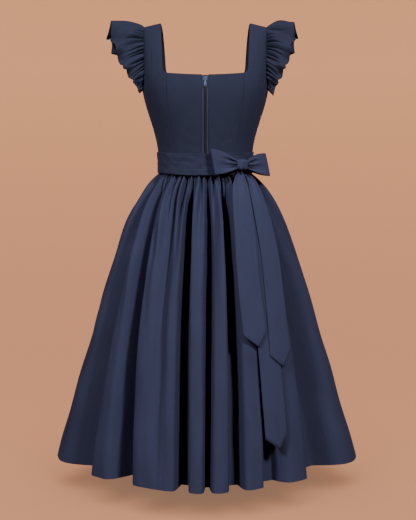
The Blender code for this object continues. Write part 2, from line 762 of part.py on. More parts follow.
def box(name, size, centre, collection, bevel=0.0):
    mesh = bpy.data.meshes.new(name)
    shape = bmesh.new()
    bmesh.ops.create_cube(shape, size=1.0)
    bmesh.ops.scale(shape, vec=size, verts=shape.verts)
    bmesh.ops.translate(shape, vec=centre, verts=shape.verts)
    if bevel:
        bmesh.ops.bevel(shape, geom=shape.edges[:], offset=bevel, segments=1, affect="EDGES")
    shape.to_mesh(mesh)
    shape.free()
    piece = bpy.data.objects.new(name, mesh)
    collection.objects.link(piece)
    return piece


def boolean(target, operand, operation):
    modifier = target.modifiers.new(operation.title(), "BOOLEAN")
    modifier.operation = operation
    modifier.object = operand
    operand.hide_render = True
    operand.display_type = "WIRE"


def slider_face_y():
    """How far the slider's front face stands before the chain's middle."""
    return -(ZIP_CHAIN_THICK / 2 + 1.5 * SEAM_GAP + SLIDER_PLATE)


def pull_axis_y():
    return slider_face_y() - SEAM_GAP - PULL_THICK / 2


def zip_slider(material, collection, cutters):
    """Front and back plates joined by a neck at the top, with a crown that holds the pull."""
    frame = zip_frame()
    plate_y = slider_face_y() + SLIDER_PLATE / 2
    size = (SLIDER_WIDTH, SLIDER_PLATE, SLIDER_LENGTH)
    body = box("zip_slider", size, (0, plate_y, 0), collection, SLIDER_BEVEL)
    rear = box("slider_rear", size, (0, -plate_y, 0), cutters, SLIDER_BEVEL)
    neck_size = (SLIDER_NECK_WIDTH, 2 * abs(plate_y), SLIDER_NECK_HEIGHT)
    neck_z = (SLIDER_LENGTH - SLIDER_NECK_HEIGHT) / 2 - SLIDER_BEVEL
    neck = box("slider_neck", neck_size, (0, 0, neck_z), cutters)
    hole_depth = PULL_THICK + 2 * SEAM_GAP
    crown_out = hole_depth + CROWN_WALL
    crown_size = (CROWN_WIDTH, crown_out + SLIDER_PLATE, CROWN_HEIGHT)
    crown_y = slider_face_y() + (SLIDER_PLATE - crown_out) / 2
    crown = box("slider_crown", crown_size, (0, crown_y, 0), cutters)
    hole_size = (3 * CROWN_WIDTH, hole_depth, CROWN_HOLE_HEIGHT)
    hole = box("crown_hole", hole_size, (0, slider_face_y() - hole_depth / 2, 0), cutters)
    for other in (rear, neck, crown):
        boolean(body, other, "UNION")
    boolean(body, hole, "DIFFERENCE")
    for piece in (body, rear, neck, crown, hole):
        piece.matrix_world = frame
    body.data.materials.append(material)
    return body


def pull_outline(curve, points):
    """Adds one closed outline of straight runs to a flat curve."""
    line = curve.splines.new("POLY")
    line.points.add(len(points) - 1)
    for point, (x, y) in zip(line.points, points):
        point.co = (x, y, 0, 1)
    line.use_cyclic_u = True


def arc_points(centre_y, radius, turn_deg, steps):
    """Points round an arc that starts to the right of its centre."""
    angles = [math.radians(turn_deg * i / steps) for i in range(steps + 1)]
    return [(radius * math.cos(a), centre_y + radius * math.sin(a)) for a in angles]


def zip_pull(material, collection):
    """The pull tab: a crossbar under the crown, an eye round it, and a tab with a hole at its end."""
    curve = bpy.data.curves.new("zip_pull", "CURVE")
    curve.dimensions = "2D"
    curve.fill_mode = "BOTH"
    curve.extrude = PULL_THICK / 2
    top = PULL_BAR / 2
    bottom = top - PULL_LENGTH
    shoulder = -PULL_SHOULDER
    narrow = PULL_NECK_WIDTH / 2
    wide = PULL_WIDTH / 2
    end_y = bottom + wide
    round_end = arc_points(end_y, wide, -180, 8)
    outline = [(-narrow, top), (narrow, top), (narrow, shoulder), *round_end, (-narrow, shoulder)]
    pull_outline(curve, outline)
    eye = CROWN_WIDTH / 2 + SEAM_GAP
    pull_outline(curve, [(-eye, -PULL_BAR / 2), (eye, -PULL_BAR / 2), (eye, -PULL_EYE), (-eye, -PULL_EYE)])
    pull_outline(curve, arc_points(end_y, PULL_HOLE / 2, 360, 10)[:-1])
    piece = bpy.data.objects.new("zip_pull", curve)
    collection.objects.link(piece)
    stand_up = Matrix.Rotation(math.radians(90), 4, "X")
    piece.matrix_world = zip_frame() @ Matrix.Translation((0, pull_axis_y(), 0)) @ stand_up
    curve.materials.append(material)
    return piece


# ---------------------------------------------------------------- assembly


def add_pair(name, rows, thickness, material, collection):
    """A piece on the wearer's left and its mirror image on the wearer's right."""
    cloth(name + "_left", rows, thickness, material, collection)
    cloth(name + "_right", mirrored(rows), thickness, material, collection)


def build():
    clear_scene()
    dress = new_collection("dirndl")
    cutters = new_collection("cutters")
    navy = principled("navy_cotton", NAVY, 0.82)
    sash = principled("navy_sash_cotton", NAVY_SASH, 0.80)
    black = principled("zip_black", TAPE_BLACK, 0.45)
    metal = principled("zip_metal", GUNMETAL, 0.30, 1.0)

    add_pair("bodice_front_centre", front_panel(), CLOTH, navy, dress)
    add_pair("bodice_front_side", side_panel(front=True), CLOTH, navy, dress)
    add_pair("bodice_back_side", side_panel(front=False), CLOTH, navy, dress)
    cloth("bodice_back_centre", back_panel(), CLOTH, navy, dress)
    cloth("ruffle_left", ruffle(RUFFLE_TOP_WIDTH_LEFT), RUFFLE_CLOTH, navy, dress, offset=0.0)
    cloth("ruffle_right", mirrored(ruffle(RUFFLE_TOP_WIDTH_RIGHT)), RUFFLE_CLOTH, navy, dress, offset=0.0)

    left_fold = next(i for i, valley in enumerate(VALLEYS) if valley.name == "left_side") - 1
    cloth("skirt_front", skirt_panel(0, left_fold), CLOTH, navy, dress)
    cloth("skirt_back", skirt_panel(left_fold, len(VALLEYS)), CLOTH, navy, dress)

    cloth("sash_band", sash_band(), SASH_CLOTH, sash, dress, wrap=True)
    cloth("sash_tail_front", tail(TAIL_FRONT, LAYER_FRONT), SASH_CLOTH, sash, dress)
    cloth("sash_tail_side", tail(TAIL_SIDE, LAYER_SIDE), SASH_CLOTH, sash, dress)
    cloth("sash_tail_long", tail(TAIL_LONG, LAYER_LONG), SASH_CLOTH, sash, dress)
    cloth("bow_loop_inner", bow_loop(LOOP_INNER), SASH_CLOTH, sash, dress)
    cloth("bow_loop_outer", bow_loop(LOOP_OUTER), SASH_CLOTH, sash, dress)
    knot(sash, dress)

    add_pair("zip_tape", zip_tape(), ZIP_TAPE, navy, dress)
    cloth("zip_chain", zip_chain(), ZIP_CHAIN_THICK, black, dress)
    zip_slider(metal, dress, cutters)
    zip_pull(metal, dress)


build()
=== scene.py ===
"""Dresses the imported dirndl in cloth: bodice, ruffles, gathered skirt, tied sash and zip, all stitched.

Metres, +Z up. The front faces -Y, and +X is the wearer's left, which is the viewer's right. The cloth pieces
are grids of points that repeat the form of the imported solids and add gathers, folds, rolled edges and seams.
"""

import json
import math
from collections import namedtuple

import bmesh
import bpy
import numpy as np
from bpy.props import FloatProperty, FloatVectorProperty, PointerProperty
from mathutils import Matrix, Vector

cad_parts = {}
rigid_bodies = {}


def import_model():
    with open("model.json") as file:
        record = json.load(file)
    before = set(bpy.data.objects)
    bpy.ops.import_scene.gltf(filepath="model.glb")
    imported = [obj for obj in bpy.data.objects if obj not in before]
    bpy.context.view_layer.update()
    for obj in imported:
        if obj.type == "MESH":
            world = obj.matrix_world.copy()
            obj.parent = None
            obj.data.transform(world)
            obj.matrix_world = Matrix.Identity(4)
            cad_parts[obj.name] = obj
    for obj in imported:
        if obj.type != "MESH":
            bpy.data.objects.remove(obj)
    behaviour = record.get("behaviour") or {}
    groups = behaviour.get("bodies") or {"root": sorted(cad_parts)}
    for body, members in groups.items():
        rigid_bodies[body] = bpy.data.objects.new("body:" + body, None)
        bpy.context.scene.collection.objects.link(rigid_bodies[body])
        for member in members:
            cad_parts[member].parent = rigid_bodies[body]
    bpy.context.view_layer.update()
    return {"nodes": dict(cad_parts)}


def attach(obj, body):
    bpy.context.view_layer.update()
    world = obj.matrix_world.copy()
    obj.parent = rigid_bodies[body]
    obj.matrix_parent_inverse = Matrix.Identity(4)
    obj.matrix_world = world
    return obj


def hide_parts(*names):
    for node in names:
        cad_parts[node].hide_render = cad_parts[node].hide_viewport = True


bl_info = {
    "name": "Sash dirndl",
    "version": (1, 0, 0),
    "blender": (4, 5, 0),
    "location": "3D View > Sidebar > Dirndl",
    "description": "Dresses the frame of a dirndl in cotton, with its gathers, sash and zip",
    "category": "Add Mesh",
}

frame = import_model()
BODY = "dress"


def rows_of(kind, *rows):
    return [kind(*row) for row in rows]


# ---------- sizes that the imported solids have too

WAIST_Z = -0.3765
YOKE_Z = -0.1420
UNDERARM_Z = -0.1710
BACK_NECK_Z = -0.1150
HEM_Z = -1.1166
FRONT_OPENING = 0.0170
NECK_CORNER_X = 0.0965
NECK_SAG = 0.0060
STRAP_INNER_X = 0.1055
STRAP_INNER_TOP_X = 0.1150
STRAP_OUTER_X = 0.1535
STRAP_OUTER_TOP_X = 0.1580
SHOULDER_DROP = 0.0095
NECK_CORNER_EASE = 0.018
SASH_TOP_Z = -0.3290
SASH_BOTTOM_Z = -0.3825
WAIST_DIP = 0.0125
DIP_TOP_Z = -0.2000
DIP_FADE_DROP = 0.27
SEAM_HALF_GAP = 0.0003  # under the waist seam, and beside the zip's chain
SEAM_OVERLAP = 0.0003  # how far a panel of the bodice runs on under its neighbour at their seam
CLOTH = 0.0015
HIDDEN_GAP = 0.0005
SASH_GAP = 0.0012
SASH_CLOTH = 0.0020

Section = namedtuple("Section", "z half_width front_depth back_depth squareness")
BODICE_SECTIONS = rows_of(
    Section,
    (-0.3850, 0.1208, 0.0922, 0.0866, 2.15),
    (-0.3550, 0.1206, 0.0925, 0.0866, 2.15),
    (-0.3220, 0.1230, 0.0948, 0.0870, 2.20),
    (-0.2960, 0.1278, 0.0990, 0.0880, 2.25),
    (-0.2700, 0.1348, 0.1045, 0.0900, 2.30),
    (-0.2440, 0.1430, 0.1100, 0.0928, 2.35),
    (-0.2180, 0.1512, 0.1142, 0.0958, 2.42),
    (-0.1920, 0.1580, 0.1160, 0.0980, 2.52),
    (-0.1710, 0.1617, 0.1152, 0.0990, 2.62),
    (YOKE_Z, 0.1635, 0.1095, 0.0985, 2.80),
)
SHOULDER = Section(0.0, 0.1640, 0.0, 0.0, 3.0)
STRAP_HANDLE_LOW_Z = -0.0700
STRAP_FRONT_HANDLES = (0.0930, 0.0520)
STRAP_BACK_HANDLES = (0.0950, 0.0560)

SeamPoint = namedtuple("SeamPoint", "z x")
PRINCESS_SEAM = rows_of(
    SeamPoint,
    (WAIST_Z, 0.0690),
    (-0.3350, 0.0745),
    (-0.2970, 0.0805),
    (-0.2460, 0.0895),
    (-0.2080, 0.0945),
    (YOKE_Z, NECK_CORNER_X),
)

# The skirt's deep troughs, from the wearer's right over the front to the left and round the back. Softness
# before and after is for its two walls, seen from outside to the left and right of it: 0 falls steeply from a
# crisp edge, and 1 sinks gradually. Gap is how wide and dark the bottom is.
Valley = namedtuple("Valley", "waist_deg mid_deg hem_deg mid_depth hem_depth before after gap")
VALLEYS = rows_of(
    Valley,
    (-99, -103, -104, 0.036, 0.050, 0.5, 0.4, 0.0),
    (-66, -58, -53, 0.048, 0.068, 0.9, 0.0, 0.3),
    (-50, -42, -34, 0.060, 0.076, 0.8, 0.0, 0.7),
    (-27, -24, -22, 0.028, 0.000, 1.0, 1.0, 0.0),
    (-13, -12, -12, 0.050, 0.060, 0.3, 0.1, 0.9),
    (3, 3, 2, 0.046, 0.050, 0.3, 0.0, 0.5),
    (17, 15, 15, 0.050, 0.054, 0.1, 0.2, 1.0),
    (37, 32, 28, 0.050, 0.046, 0.0, 0.7, 0.7),
    (62, 53, 48, 0.060, 0.078, 0.0, 0.8, 0.6),
    (99, 103, 105, 0.036, 0.050, 0.4, 0.5, 0.0),
    (118, 123, 127, 0.036, 0.046, 0.7, 0.1, 0.1),
    (136, 142, 147, 0.040, 0.052, 0.2, 0.6, 0.3),
    (156, 160, 164, 0.034, 0.044, 0.6, 0.0, 0.1),
    (177, 178, 179, 0.040, 0.050, 0.3, 0.3, 0.6),
    (198, 197, 195, 0.036, 0.048, 0.0, 0.7, 0.1),
    (219, 215, 211, 0.038, 0.050, 0.5, 0.2, 0.3),
    (240, 235, 231, 0.040, 0.052, 0.1, 0.8, 0.1),
)
MID_DROP = 0.22
VALLEY_GROWTH = 0.07
HEM_SQUARENESS = 1.62
HEM_RISE = 0.0060
HEM_SINK = 0.0130  # how far the front of the hem hangs below the sides
HEM_SINK_COSINE = 0.62  # and the cosine of the turn up to which it hangs in full
HEM_SWAY = 0.024  # how much further the hem swings out on the wearer's left
COLLAR_DROP = 0.0068
SKIRT_LENGTH = WAIST_Z - HEM_Z
SIDE_FOLDS = (0.5, 8.5)  # the side seams run up the crests of these folds
Flare = namedtuple("Flare", "waist slope puff")
SKIRT_WIDTH = Flare(0.1208, 0.2830, 0.0615)
SKIRT_FRONT = Flare(0.0922, 0.2220, 0.0460)
SKIRT_BACK = Flare(0.0866, 0.2140, 0.0480)
PUFF_DROP = 0.056
VALLEY_FLOOR = 0.18  # the share of a fold that lies along the floor of an open valley
GAP_WIDTH = 0.12  # half the width of the most open valley's floor, as a share of the fold

RibbonRow = namedtuple("RibbonRow", "x z width")
TAIL_FRONT = rows_of(
    RibbonRow,
    (0.0880, -0.3818, 0.018),
    (0.0865, -0.3980, 0.030),
    (0.0870, -0.4200, 0.042),
    (0.0900, -0.4620, 0.050),
    (0.0960, -0.5300, 0.054),
    (0.1010, -0.6080, 0.056),
    (0.1100, -0.7000, 0.058),
    (0.1190, -0.7700, 0.060),
)
TAIL_SIDE = rows_of(
    RibbonRow,
    (0.1030, -0.3887, 0.017),
    (0.1140, -0.4000, 0.026),
    (0.1250, -0.4320, 0.038),
    (0.1400, -0.4930, 0.048),
    (0.1560, -0.5750, 0.053),
    (0.1660, -0.6640, 0.055),
    (0.1740, -0.7440, 0.057),
    (0.1800, -0.8200, 0.060),
)
TAIL_LONG = rows_of(
    RibbonRow,
    (0.0990, -0.3898, 0.012),
    (0.1030, -0.4000, 0.024),
    (0.1110, -0.4320, 0.036),
    (0.1210, -0.4940, 0.048),
    (0.1330, -0.6040, 0.054),
    (0.1430, -0.7140, 0.057),
    (0.1530, -0.8240, 0.058),
    (0.1610, -0.9240, 0.059),
    (0.1680, -1.0080, 0.060),
)
LAYER_LONG = 0.0011
LAYER_SIDE = 0.0037
LAYER_FRONT = 0.0063
TAIL_POINT = 0.036
TAIL_SHORTER = 0.009
KNOT_CENTRE = Vector((0.0908, -0.0814, -0.3675))
KNOT_SIZE = Vector((0.0330, 0.0200, 0.0280))
KNOT_TURN_DEG = 30
Loop = namedtuple("Loop", "top bottom fullness")
LOOP_INNER = Loop(Vector((0.0118, -0.1120, -0.3310)), Vector((0.0232, -0.1120, -0.3930)), 0.0085)
LOOP_OUTER = Loop(Vector((0.1525, -0.0440, -0.3350)), Vector((0.1645, -0.0440, -0.3930)), 0.0095)
LOOP_PINCH = 0.020

RUFFLE_END_WIDTH = 0.007
RUFFLE_TOP_WIDTH_RIGHT = 0.092
RUFFLE_TOP_WIDTH_LEFT = 0.077
RUFFLE_LIFT_TOP_DEG = 13
RUFFLE_LIFT_END_DEG = 38
RUFFLE_DROOP_DEG = 42
RUFFLE_START_LEVEL = -0.018

ZIP_TAPE = 0.0010
ZIP_TAPE_WIDTH = 0.0125
ZIP_CHAIN_WIDTH = 0.0058
ZIP_CHAIN_THICK = 0.0024
ZIP_TOP_Z = -0.1500
ZIP_BOTTOM_Z = -0.3745
SLIDER_Z = -0.1590
SLIDER_LENGTH = 0.0105

# ---------- sizes of what is added here

FLAT_MAP = "Flat cut"  # each cloth piece's UV map: where a point was on the flat cloth, in metres
SEED = 7
NOISE_WAVES = 9
GATHER_SPACING_DEG = 4.3
SIDEWAYS = np.array((1.0, 0.0, 0.0))
UPWARDS = np.array((0.0, 0.0, 1.0))

# From stitch to stitch, and how long one is.
Stitch = namedtuple("Stitch", "pitch length")
EDGE_STITCH = Stitch(0.0034, 0.0026)
FINE_STITCH = Stitch(0.0030, 0.0023)
HEM_STITCH = Stitch(0.0048, 0.0024)
STITCH_THREAD = 0.00040
STITCH_ROWS = (3, -4)  # the rows or columns of a grid along which its edges are stitched

# A stitch's rings: where along it they stand, whether they are full or one point, and how high, in threads.
STITCH_RINGS = ((0.0, False, -0.5), (0.22, True, -0.15), (0.78, True, -0.15), (1.0, False, -0.5))
RING_CORNERS = ((1, 0), (0, 1), (-1, 0), (0, -1))

# ---------- curves and sections


def smoothstep(value):
    value = np.clip(value, 0.0, 1.0)
    return value * value * (3 - 2 * value)


def blend(start, end, share):
    return start + (end - start) * share


def stacked(*values):
    return np.stack(np.broadcast_arrays(*values), axis=-1)


def fading(distance, width, power=2):
    """1 at no distance, and next to nothing from about two widths on."""
    return np.exp(-((distance / width) ** power))


def spline(xs, ys, x):
    """A smooth curve through the points (xs, ys), xs rising, read at x. It runs straight on past its end."""
    xs, ys, x = (np.asarray(values, float) for values in (xs, ys, x))
    low = np.maximum(np.arange(len(xs)) - 1, 0)
    high = np.minimum(np.arange(len(xs)) + 1, len(xs) - 1)
    slopes = (ys[high] - ys[low]) / (xs[high] - xs[low])
    i = np.clip(np.searchsorted(xs, x, side="right") - 1, 0, len(xs) - 2)
    step = xs[i + 1] - xs[i]
    t = (x - xs[i]) / step
    inside = (
        (2 * t**3 - 3 * t**2 + 1) * ys[i]
        + (t**3 - 2 * t**2 + t) * step * slopes[i]
        + (3 * t**2 - 2 * t**3) * ys[i + 1]
        + (t**3 - t**2) * step * slopes[i + 1]
    )
    return np.where(x > xs[-1], ys[-1] + slopes[-1] * (x - xs[-1]), inside)


def along_table(table, column, key, value):
    return spline([getattr(row, key) for row in table], [getattr(row, column) for row in table], value)


def bezier(p0, p1, p2, p3, t):
    s = 1 - t
    return s**3 * p0 + 3 * s**2 * t * p1 + 3 * s * t**2 * p2 + t**3 * p3


def signed_power(value, power):
    return np.sign(value) * np.abs(value) ** power


def section_at(level):
    """The bodice's section. Below 0 a level is metres under the yoke, and 0 to 1 runs up a strap."""
    level = np.asarray(level, float)
    up = np.maximum(level, 0)
    yoke = BODICE_SECTIONS[-1]
    on_strap = (
        bezier(YOKE_Z, STRAP_HANDLE_LOW_Z, 0.0, 0.0, up),
        blend(yoke.half_width, SHOULDER.half_width, up),
        bezier(yoke.front_depth, *STRAP_FRONT_HANDLES, 0.0, up),
        bezier(yoke.back_depth, *STRAP_BACK_HANDLES, 0.0, up),
        blend(yoke.squareness, SHOULDER.squareness, up),
    )
    z = YOKE_Z + np.minimum(level, 0)
    on_torso = (z, *(along_table(BODICE_SECTIONS, column, "z", z) for column in Section._fields[1:]))
    return Section(*(np.where(level > 0, strap, torso) for strap, torso in zip(on_strap, on_torso)))


def level_at(z):
    """The level of a height, read back from the strap's profile."""
    levels = np.linspace(0, 1, 400)
    return np.where(z <= YOKE_Z, z - YOKE_Z, np.interp(z, section_at(levels).z, levels))


def waist_dip(cosine, share):
    """How far points are let down by the waist's dip: all of it at share 1, at the centre front."""
    return WAIST_DIP * np.maximum(0.0, cosine) ** 1.3 * smoothstep(share)


def body_point(level, turn, outwards=0.0):
    """Points on the bodice's outer face. Turn 0 is centre front, 90 the wearer's left, 180 the back."""
    s = section_at(level)
    sine, cosine = np.sin(np.radians(turn)), np.cos(np.radians(turn))
    power = 2 / s.squareness
    depth = np.where(cosine >= 0, s.front_depth, s.back_depth) + outwards
    x = (s.half_width + outwards) * signed_power(sine, power)
    y = -depth * signed_power(cosine, power)
    past_corner = (np.abs(x) - STRAP_INNER_TOP_X) / (STRAP_OUTER_TOP_X - STRAP_INNER_TOP_X)
    z = s.z - SHOULDER_DROP * past_corner * smoothstep(np.maximum(level, 0.0))
    z = z - waist_dip(cosine, (DIP_TOP_Z - s.z) / (DIP_TOP_Z - SASH_TOP_Z))
    return stacked(x, y, z)


def turn_at(level, x):
    s = section_at(level)
    share = np.minimum(1.0, np.abs(x) / s.half_width)
    return np.degrees(np.arcsin(share ** (s.squareness / 2)))


def strap_inner_x(level):
    corner = blend(NECK_CORNER_X, STRAP_INNER_X, 1 - np.exp(-level / NECK_CORNER_EASE))
    return corner + (STRAP_INNER_TOP_X - STRAP_INNER_X) * level


def princess_x(z):
    return along_table(PRINCESS_SEAM, "x", "z", z)


def armhole_turn(level):
    """How far round the armhole's edge lies: at the side under the arm, then on the strap's outer edge."""
    level = np.asarray(level, float)
    share = 1 - np.clip(level / (UNDERARM_Z - YOKE_Z), 0, 1)
    low = 90 - (90 - turn_at(0.0, STRAP_OUTER_X)) * np.sin(np.radians(90 * share))
    high = turn_at(level, blend(STRAP_OUTER_X, STRAP_OUTER_TOP_X, level))
    return np.where(level < 0, low, high)


def neckline_z(x):
    return YOKE_Z - NECK_SAG * (1 - (x / NECK_CORNER_X) ** 2)


# ---------- grids of points


def fine_ends(count, ends=(0.0, 0.006, 0.014, 0.026, 0.045)):
    """Shares from 0 to 1, close together near both ends, where an edge rolls over."""
    ends = np.array(ends)
    middle = np.linspace(ends[-1], 1 - ends[-1], count)
    return np.concatenate([ends[:-1], middle, 1 - ends[-2::-1]])


def unit(vectors):
    return vectors / np.maximum(np.linalg.norm(vectors, axis=-1, keepdims=True), 1e-12)


def grid_normals(points, wrap=False):
    """The outward direction at each point of a grid whose columns run right and whose rows run up."""
    if wrap:
        across = np.roll(points, -1, axis=1) - np.roll(points, 1, axis=1)
    else:
        across = np.gradient(points, axis=1)
    return unit(np.cross(across, np.gradient(points, axis=0)))


def run_lengths(points, axis):
    """How far each point is from the grid's first row or column, along the cloth."""
    steps = np.linalg.norm(np.diff(points, axis=axis), axis=-1)
    first = np.zeros_like(np.take(steps, [0], axis=axis))
    return np.concatenate([first, np.cumsum(steps, axis=axis)], axis=axis)


def roll_in(distance, radius):
    """How far a rolled edge turns away from the outer face, at a distance from the edge."""
    short = np.clip(radius - distance, 0, radius)
    return radius - np.sqrt(radius**2 - short**2)


def with_rolled_edges(points, left=0.0, right=0.0, bottom=0.0, top=0.0):
    """Turns the named edges of a grid inwards, each with its own radius, as a pressed seam or fold does."""
    across, up = run_lengths(points, 1), run_lengths(points, 0)
    inwards = np.zeros(points.shape[:2])
    for radius, distance in (
        (left, across),
        (right, across[:, -1:] - across),
        (bottom, up),
        (top, up[-1:] - up),
    ):
        if radius:
            inwards = np.maximum(inwards, roll_in(distance, radius))
    return points - grid_normals(points) * inwards[..., None]


Crease = namedtuple("Crease", "x0 z0 x1 z1 depth width")


def pressed(points, creases, front):
    """Presses soft troughs (or ridges, with a negative depth) along lines seen from the front or back."""
    normals = grid_normals(points)
    facing = smoothstep(-normals[..., 1] if front else normals[..., 1])
    inwards = np.zeros(points.shape[:2])
    for crease in creases:
        start, end = np.array((crease.x0, crease.z0)), np.array((crease.x1, crease.z1))
        run = end - start
        here = points[..., [0, 2]] - start
        along = np.clip(here @ run / (run @ run), 0, 1)
        away = np.linalg.norm(here - along[..., None] * run, axis=-1)
        inwards += crease.depth * fading(away, crease.width) * (0.35 + 0.65 * np.sin(np.pi * along))
    return points - normals * (inwards * facing)[..., None]


def soft_noise(a, b, seed):
    """A smooth, repeatable field between about -1 and 1, with features about 1 unit across."""
    draw = np.random.default_rng(seed)
    total = np.zeros(np.broadcast(a, b).shape)
    for _ in range(NOISE_WAVES):
        way = draw.uniform(0, 2 * np.pi)
        pace = draw.uniform(2.0, 5.0)
        total += np.sin(pace * (a * np.cos(way) + b * np.sin(way)) + draw.uniform(0, 2 * np.pi))
    return total / math.sqrt(NOISE_WAVES)


def mirrored(points):
    """The same grid on the other side of the body, with its columns running to the right again."""
    return points[:, ::-1] * (-1, 1, 1)


# ---------- meshes


def mesh_of(name, shape):
    mesh = bpy.data.meshes.new(name)
    shape.to_mesh(mesh)
    shape.free()
    return mesh


def linked(name, mesh, material):
    """An object in the scene, with that mesh and finish."""
    mesh.shade_smooth()
    mesh.materials.append(material)
    piece = bpy.data.objects.new(name, mesh)
    bpy.context.scene.collection.objects.link(piece)
    return piece


def flat_map(points, wrap, width_row, length_part):
    """A flat map from the grid's lengths: across along a row, and up along the column at 1/length_part."""
    closed = np.concatenate([points, points[:, :1]], axis=1) if wrap else points
    across = run_lengths(closed, 1)[width_row]
    up = run_lengths(points, 0)[:, points.shape[1] // length_part]
    return stacked(across[None, :], up[:, None])


def cloth_piece(
    name, points, material, thickness, wrap=False, offset=-1.0, width_row=0, length_part=2
):
    """Cloth in place of the solid of that name: a grid of points for its outer face, given its thickness."""
    rows, columns = points.shape[:2]
    row, column = np.mgrid[0 : rows - 1, 0 : columns if wrap else columns - 1]
    row, column = row.ravel(), column.ravel()
    corners = [(row, column), (row, column + 1), (row + 1, column + 1), (row + 1, column)]
    faces = np.stack([r * columns + c % columns for r, c in corners], axis=-1)
    mesh = bpy.data.meshes.new(f"{name}_cloth")
    mesh.from_pydata(points.reshape(-1, 3).tolist(), [], faces.tolist())
    flat = flat_map(points, wrap, width_row, length_part)
    layer = mesh.uv_layers.new(name=FLAT_MAP)
    loops = np.stack([flat[r, c] for r, c in corners], axis=1)
    layer.data.foreach_set("uv", loops.reshape(-1).astype(np.float32))
    piece = linked(mesh.name, mesh, material)
    wall = piece.modifiers.new("Thickness", "SOLIDIFY")
    wall.thickness = thickness
    wall.offset = offset
    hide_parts(name)
    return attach(piece, BODY)


def read_along(values, lengths, where):
    """A path's values at distances along it, from its points' own distances."""
    return stacked(*(np.interp(where, lengths, values[:, k]) for k in range(3)))


def stitch_run(path, normals, stitch):
    """Points and faces of a row of stitches: spindles of thread that dip into the cloth at their ends."""
    lengths = run_lengths(path, 0)
    points, faces = [], []
    for start in np.arange(stitch.pitch / 2, lengths[-1] - stitch.length, stitch.pitch):
        first = len(points)
        for share, full, height in STITCH_RINGS:
            where = start + stitch.length * share
            normal = unit(read_along(normals, lengths, where))
            ahead = unit(read_along(path, lengths, where + 1e-4) - read_along(path, lengths, where - 1e-4))
            side = unit(np.cross(ahead, normal))
            centre = read_along(path, lengths, where) + normal * STITCH_THREAD * height
            if full:
                points += [centre + (side * a + normal * b) * STITCH_THREAD / 2 for a, b in RING_CORNERS]
            else:
                points.append(centre)
        for k in range(4):
            after = (k + 1) % 4
            faces.append((first, first + 1 + after, first + 1 + k))
            faces.append((first + 1 + k, first + 1 + after, first + 5 + after, first + 5 + k))
            faces.append((first + 5 + k, first + 5 + after, first + 9))
    return np.array(points), faces


def stitching(context, name, runs, stitch):
    """Many rows of stitches as one piece. A run is a path with its outward directions."""
    all_points, all_faces = [], []
    for path, normals in runs:
        points, faces = stitch_run(path, normals, stitch)
        start = sum(map(len, all_points))
        all_points.append(points)
        all_faces += [tuple(start + i for i in face) for face in faces]
    mesh = bpy.data.meshes.new(name)
    mesh.from_pydata(np.concatenate(all_points).tolist(), [], all_faces)
    thread = bpy.data.materials.get("sewing_thread") or thread_finish(
        "sewing_thread", context.scene.dirndl_looks.thread
    )
    piece = linked(name, mesh, thread)
    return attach(piece, BODY)


def column_path(points, index):
    return points[:, index], grid_normals(points)[:, index]


def row_path(points, index):
    return points[index], grid_normals(points)[index]


# ---------- materials


class Wire:
    """A value on its way through a material. Using it in an expression adds the Math node."""

    def __init__(self, finish, socket):
        self.finish = finish
        self.socket = socket

    def maths(self, operation, *values):
        node = self.finish.node("Math", {"operation": operation}, dict(enumerate(values)))
        return Wire(self.finish, node.outputs[0])

    def __add__(self, other):
        return self.maths("ADD", self, other)

    def __sub__(self, other):
        return self.maths("SUBTRACT", self, other)

    def __mul__(self, other):
        return self.maths("MULTIPLY", self, other)

    __radd__ = __add__
    __rmul__ = __mul__

    def sine(self):
        return self.maths("SINE", self)


class Finish:
    """A material in the making."""

    def __init__(self, name):
        self.material = bpy.data.materials.new(name)
        self.material.use_nodes = True
        self.tree = self.material.node_tree

    def feed(self, socket, value):
        if isinstance(value, Wire):
            self.tree.links.new(value.socket, socket)
        else:
            socket.default_value = value

    def node(self, kind, settings=None, inputs=None):
        """A node of that kind. Its settings are set first, then its sockets get their values or wires."""
        node = self.tree.nodes.new("ShaderNode" + kind)
        for name, value in (settings or {}).items():
            setattr(node, name, value)
        for name, value in (inputs or {}).items():
            self.feed(node.inputs[name], value)
        return node

    def read(self, output, kind, settings=None, inputs=None):
        """An output of a new node, on a wire."""
        return Wire(self, self.node(kind, settings, inputs).outputs[output])

    def parts(self, vector):
        """The first, second and third value of a vector."""
        parts = self.node("SeparateXYZ", inputs={0: vector})
        return [Wire(self, output) for output in parts.outputs]

    def flat_place(self):
        """Where a point was on the flat cloth, in metres: across and along."""
        return self.parts(self.read("UV", "UVMap", {"uv_map": FLAT_MAP}))[:2]

    def place(self):
        return self.read("Object", "TexCoord")

    def noise(self, place, scale, detail, roughness=0.5):
        inputs = {"Vector": place, "Scale": scale, "Detail": detail, "Roughness": roughness}
        return self.read("Fac", "TexNoise", inputs=inputs)

    def flat_noise(self, x, y, detail, roughness=0.5):
        return self.noise(self.read(0, "CombineXYZ", inputs={0: x, 1: y}), 1.0, detail, roughness)

    def mix(self, share, first, second):
        inputs = {0: share, 6: (*first, 1.0), 7: (*second, 1.0)}
        return self.read(2, "Mix", {"data_type": "RGBA"}, inputs)

    def tones(self, share, colour, low, high):
        return self.mix(share, shaded(colour, low), shaded(colour, high))

    def bump(self, height):
        """A normal from a height in metres."""
        return self.read("Normal", "Bump", inputs={"Height": height, "Distance": 1.0, "Strength": 1.0})

    def surface(self, **inputs):
        """Feeds the shader, and gives the finished material."""
        shader = self.tree.nodes["Principled BSDF"]
        for name, value in inputs.items():
            self.feed(shader.inputs[name.replace("_", " ")], value)
        return self.material


def shaded(colour, share):
    return tuple(channel * share for channel in colour)


# Heights of the cloth's relief, and how close the zip tape's ribs are.
WEAVE_RELIEF = 0.00004
SLUB_RELIEF = 0.00022
CREASE_RELIEF = 0.0016
RIB_RELIEF = 0.00003
RIB_PITCH = 0.0007
SCRATCH_RELIEF = 0.00002


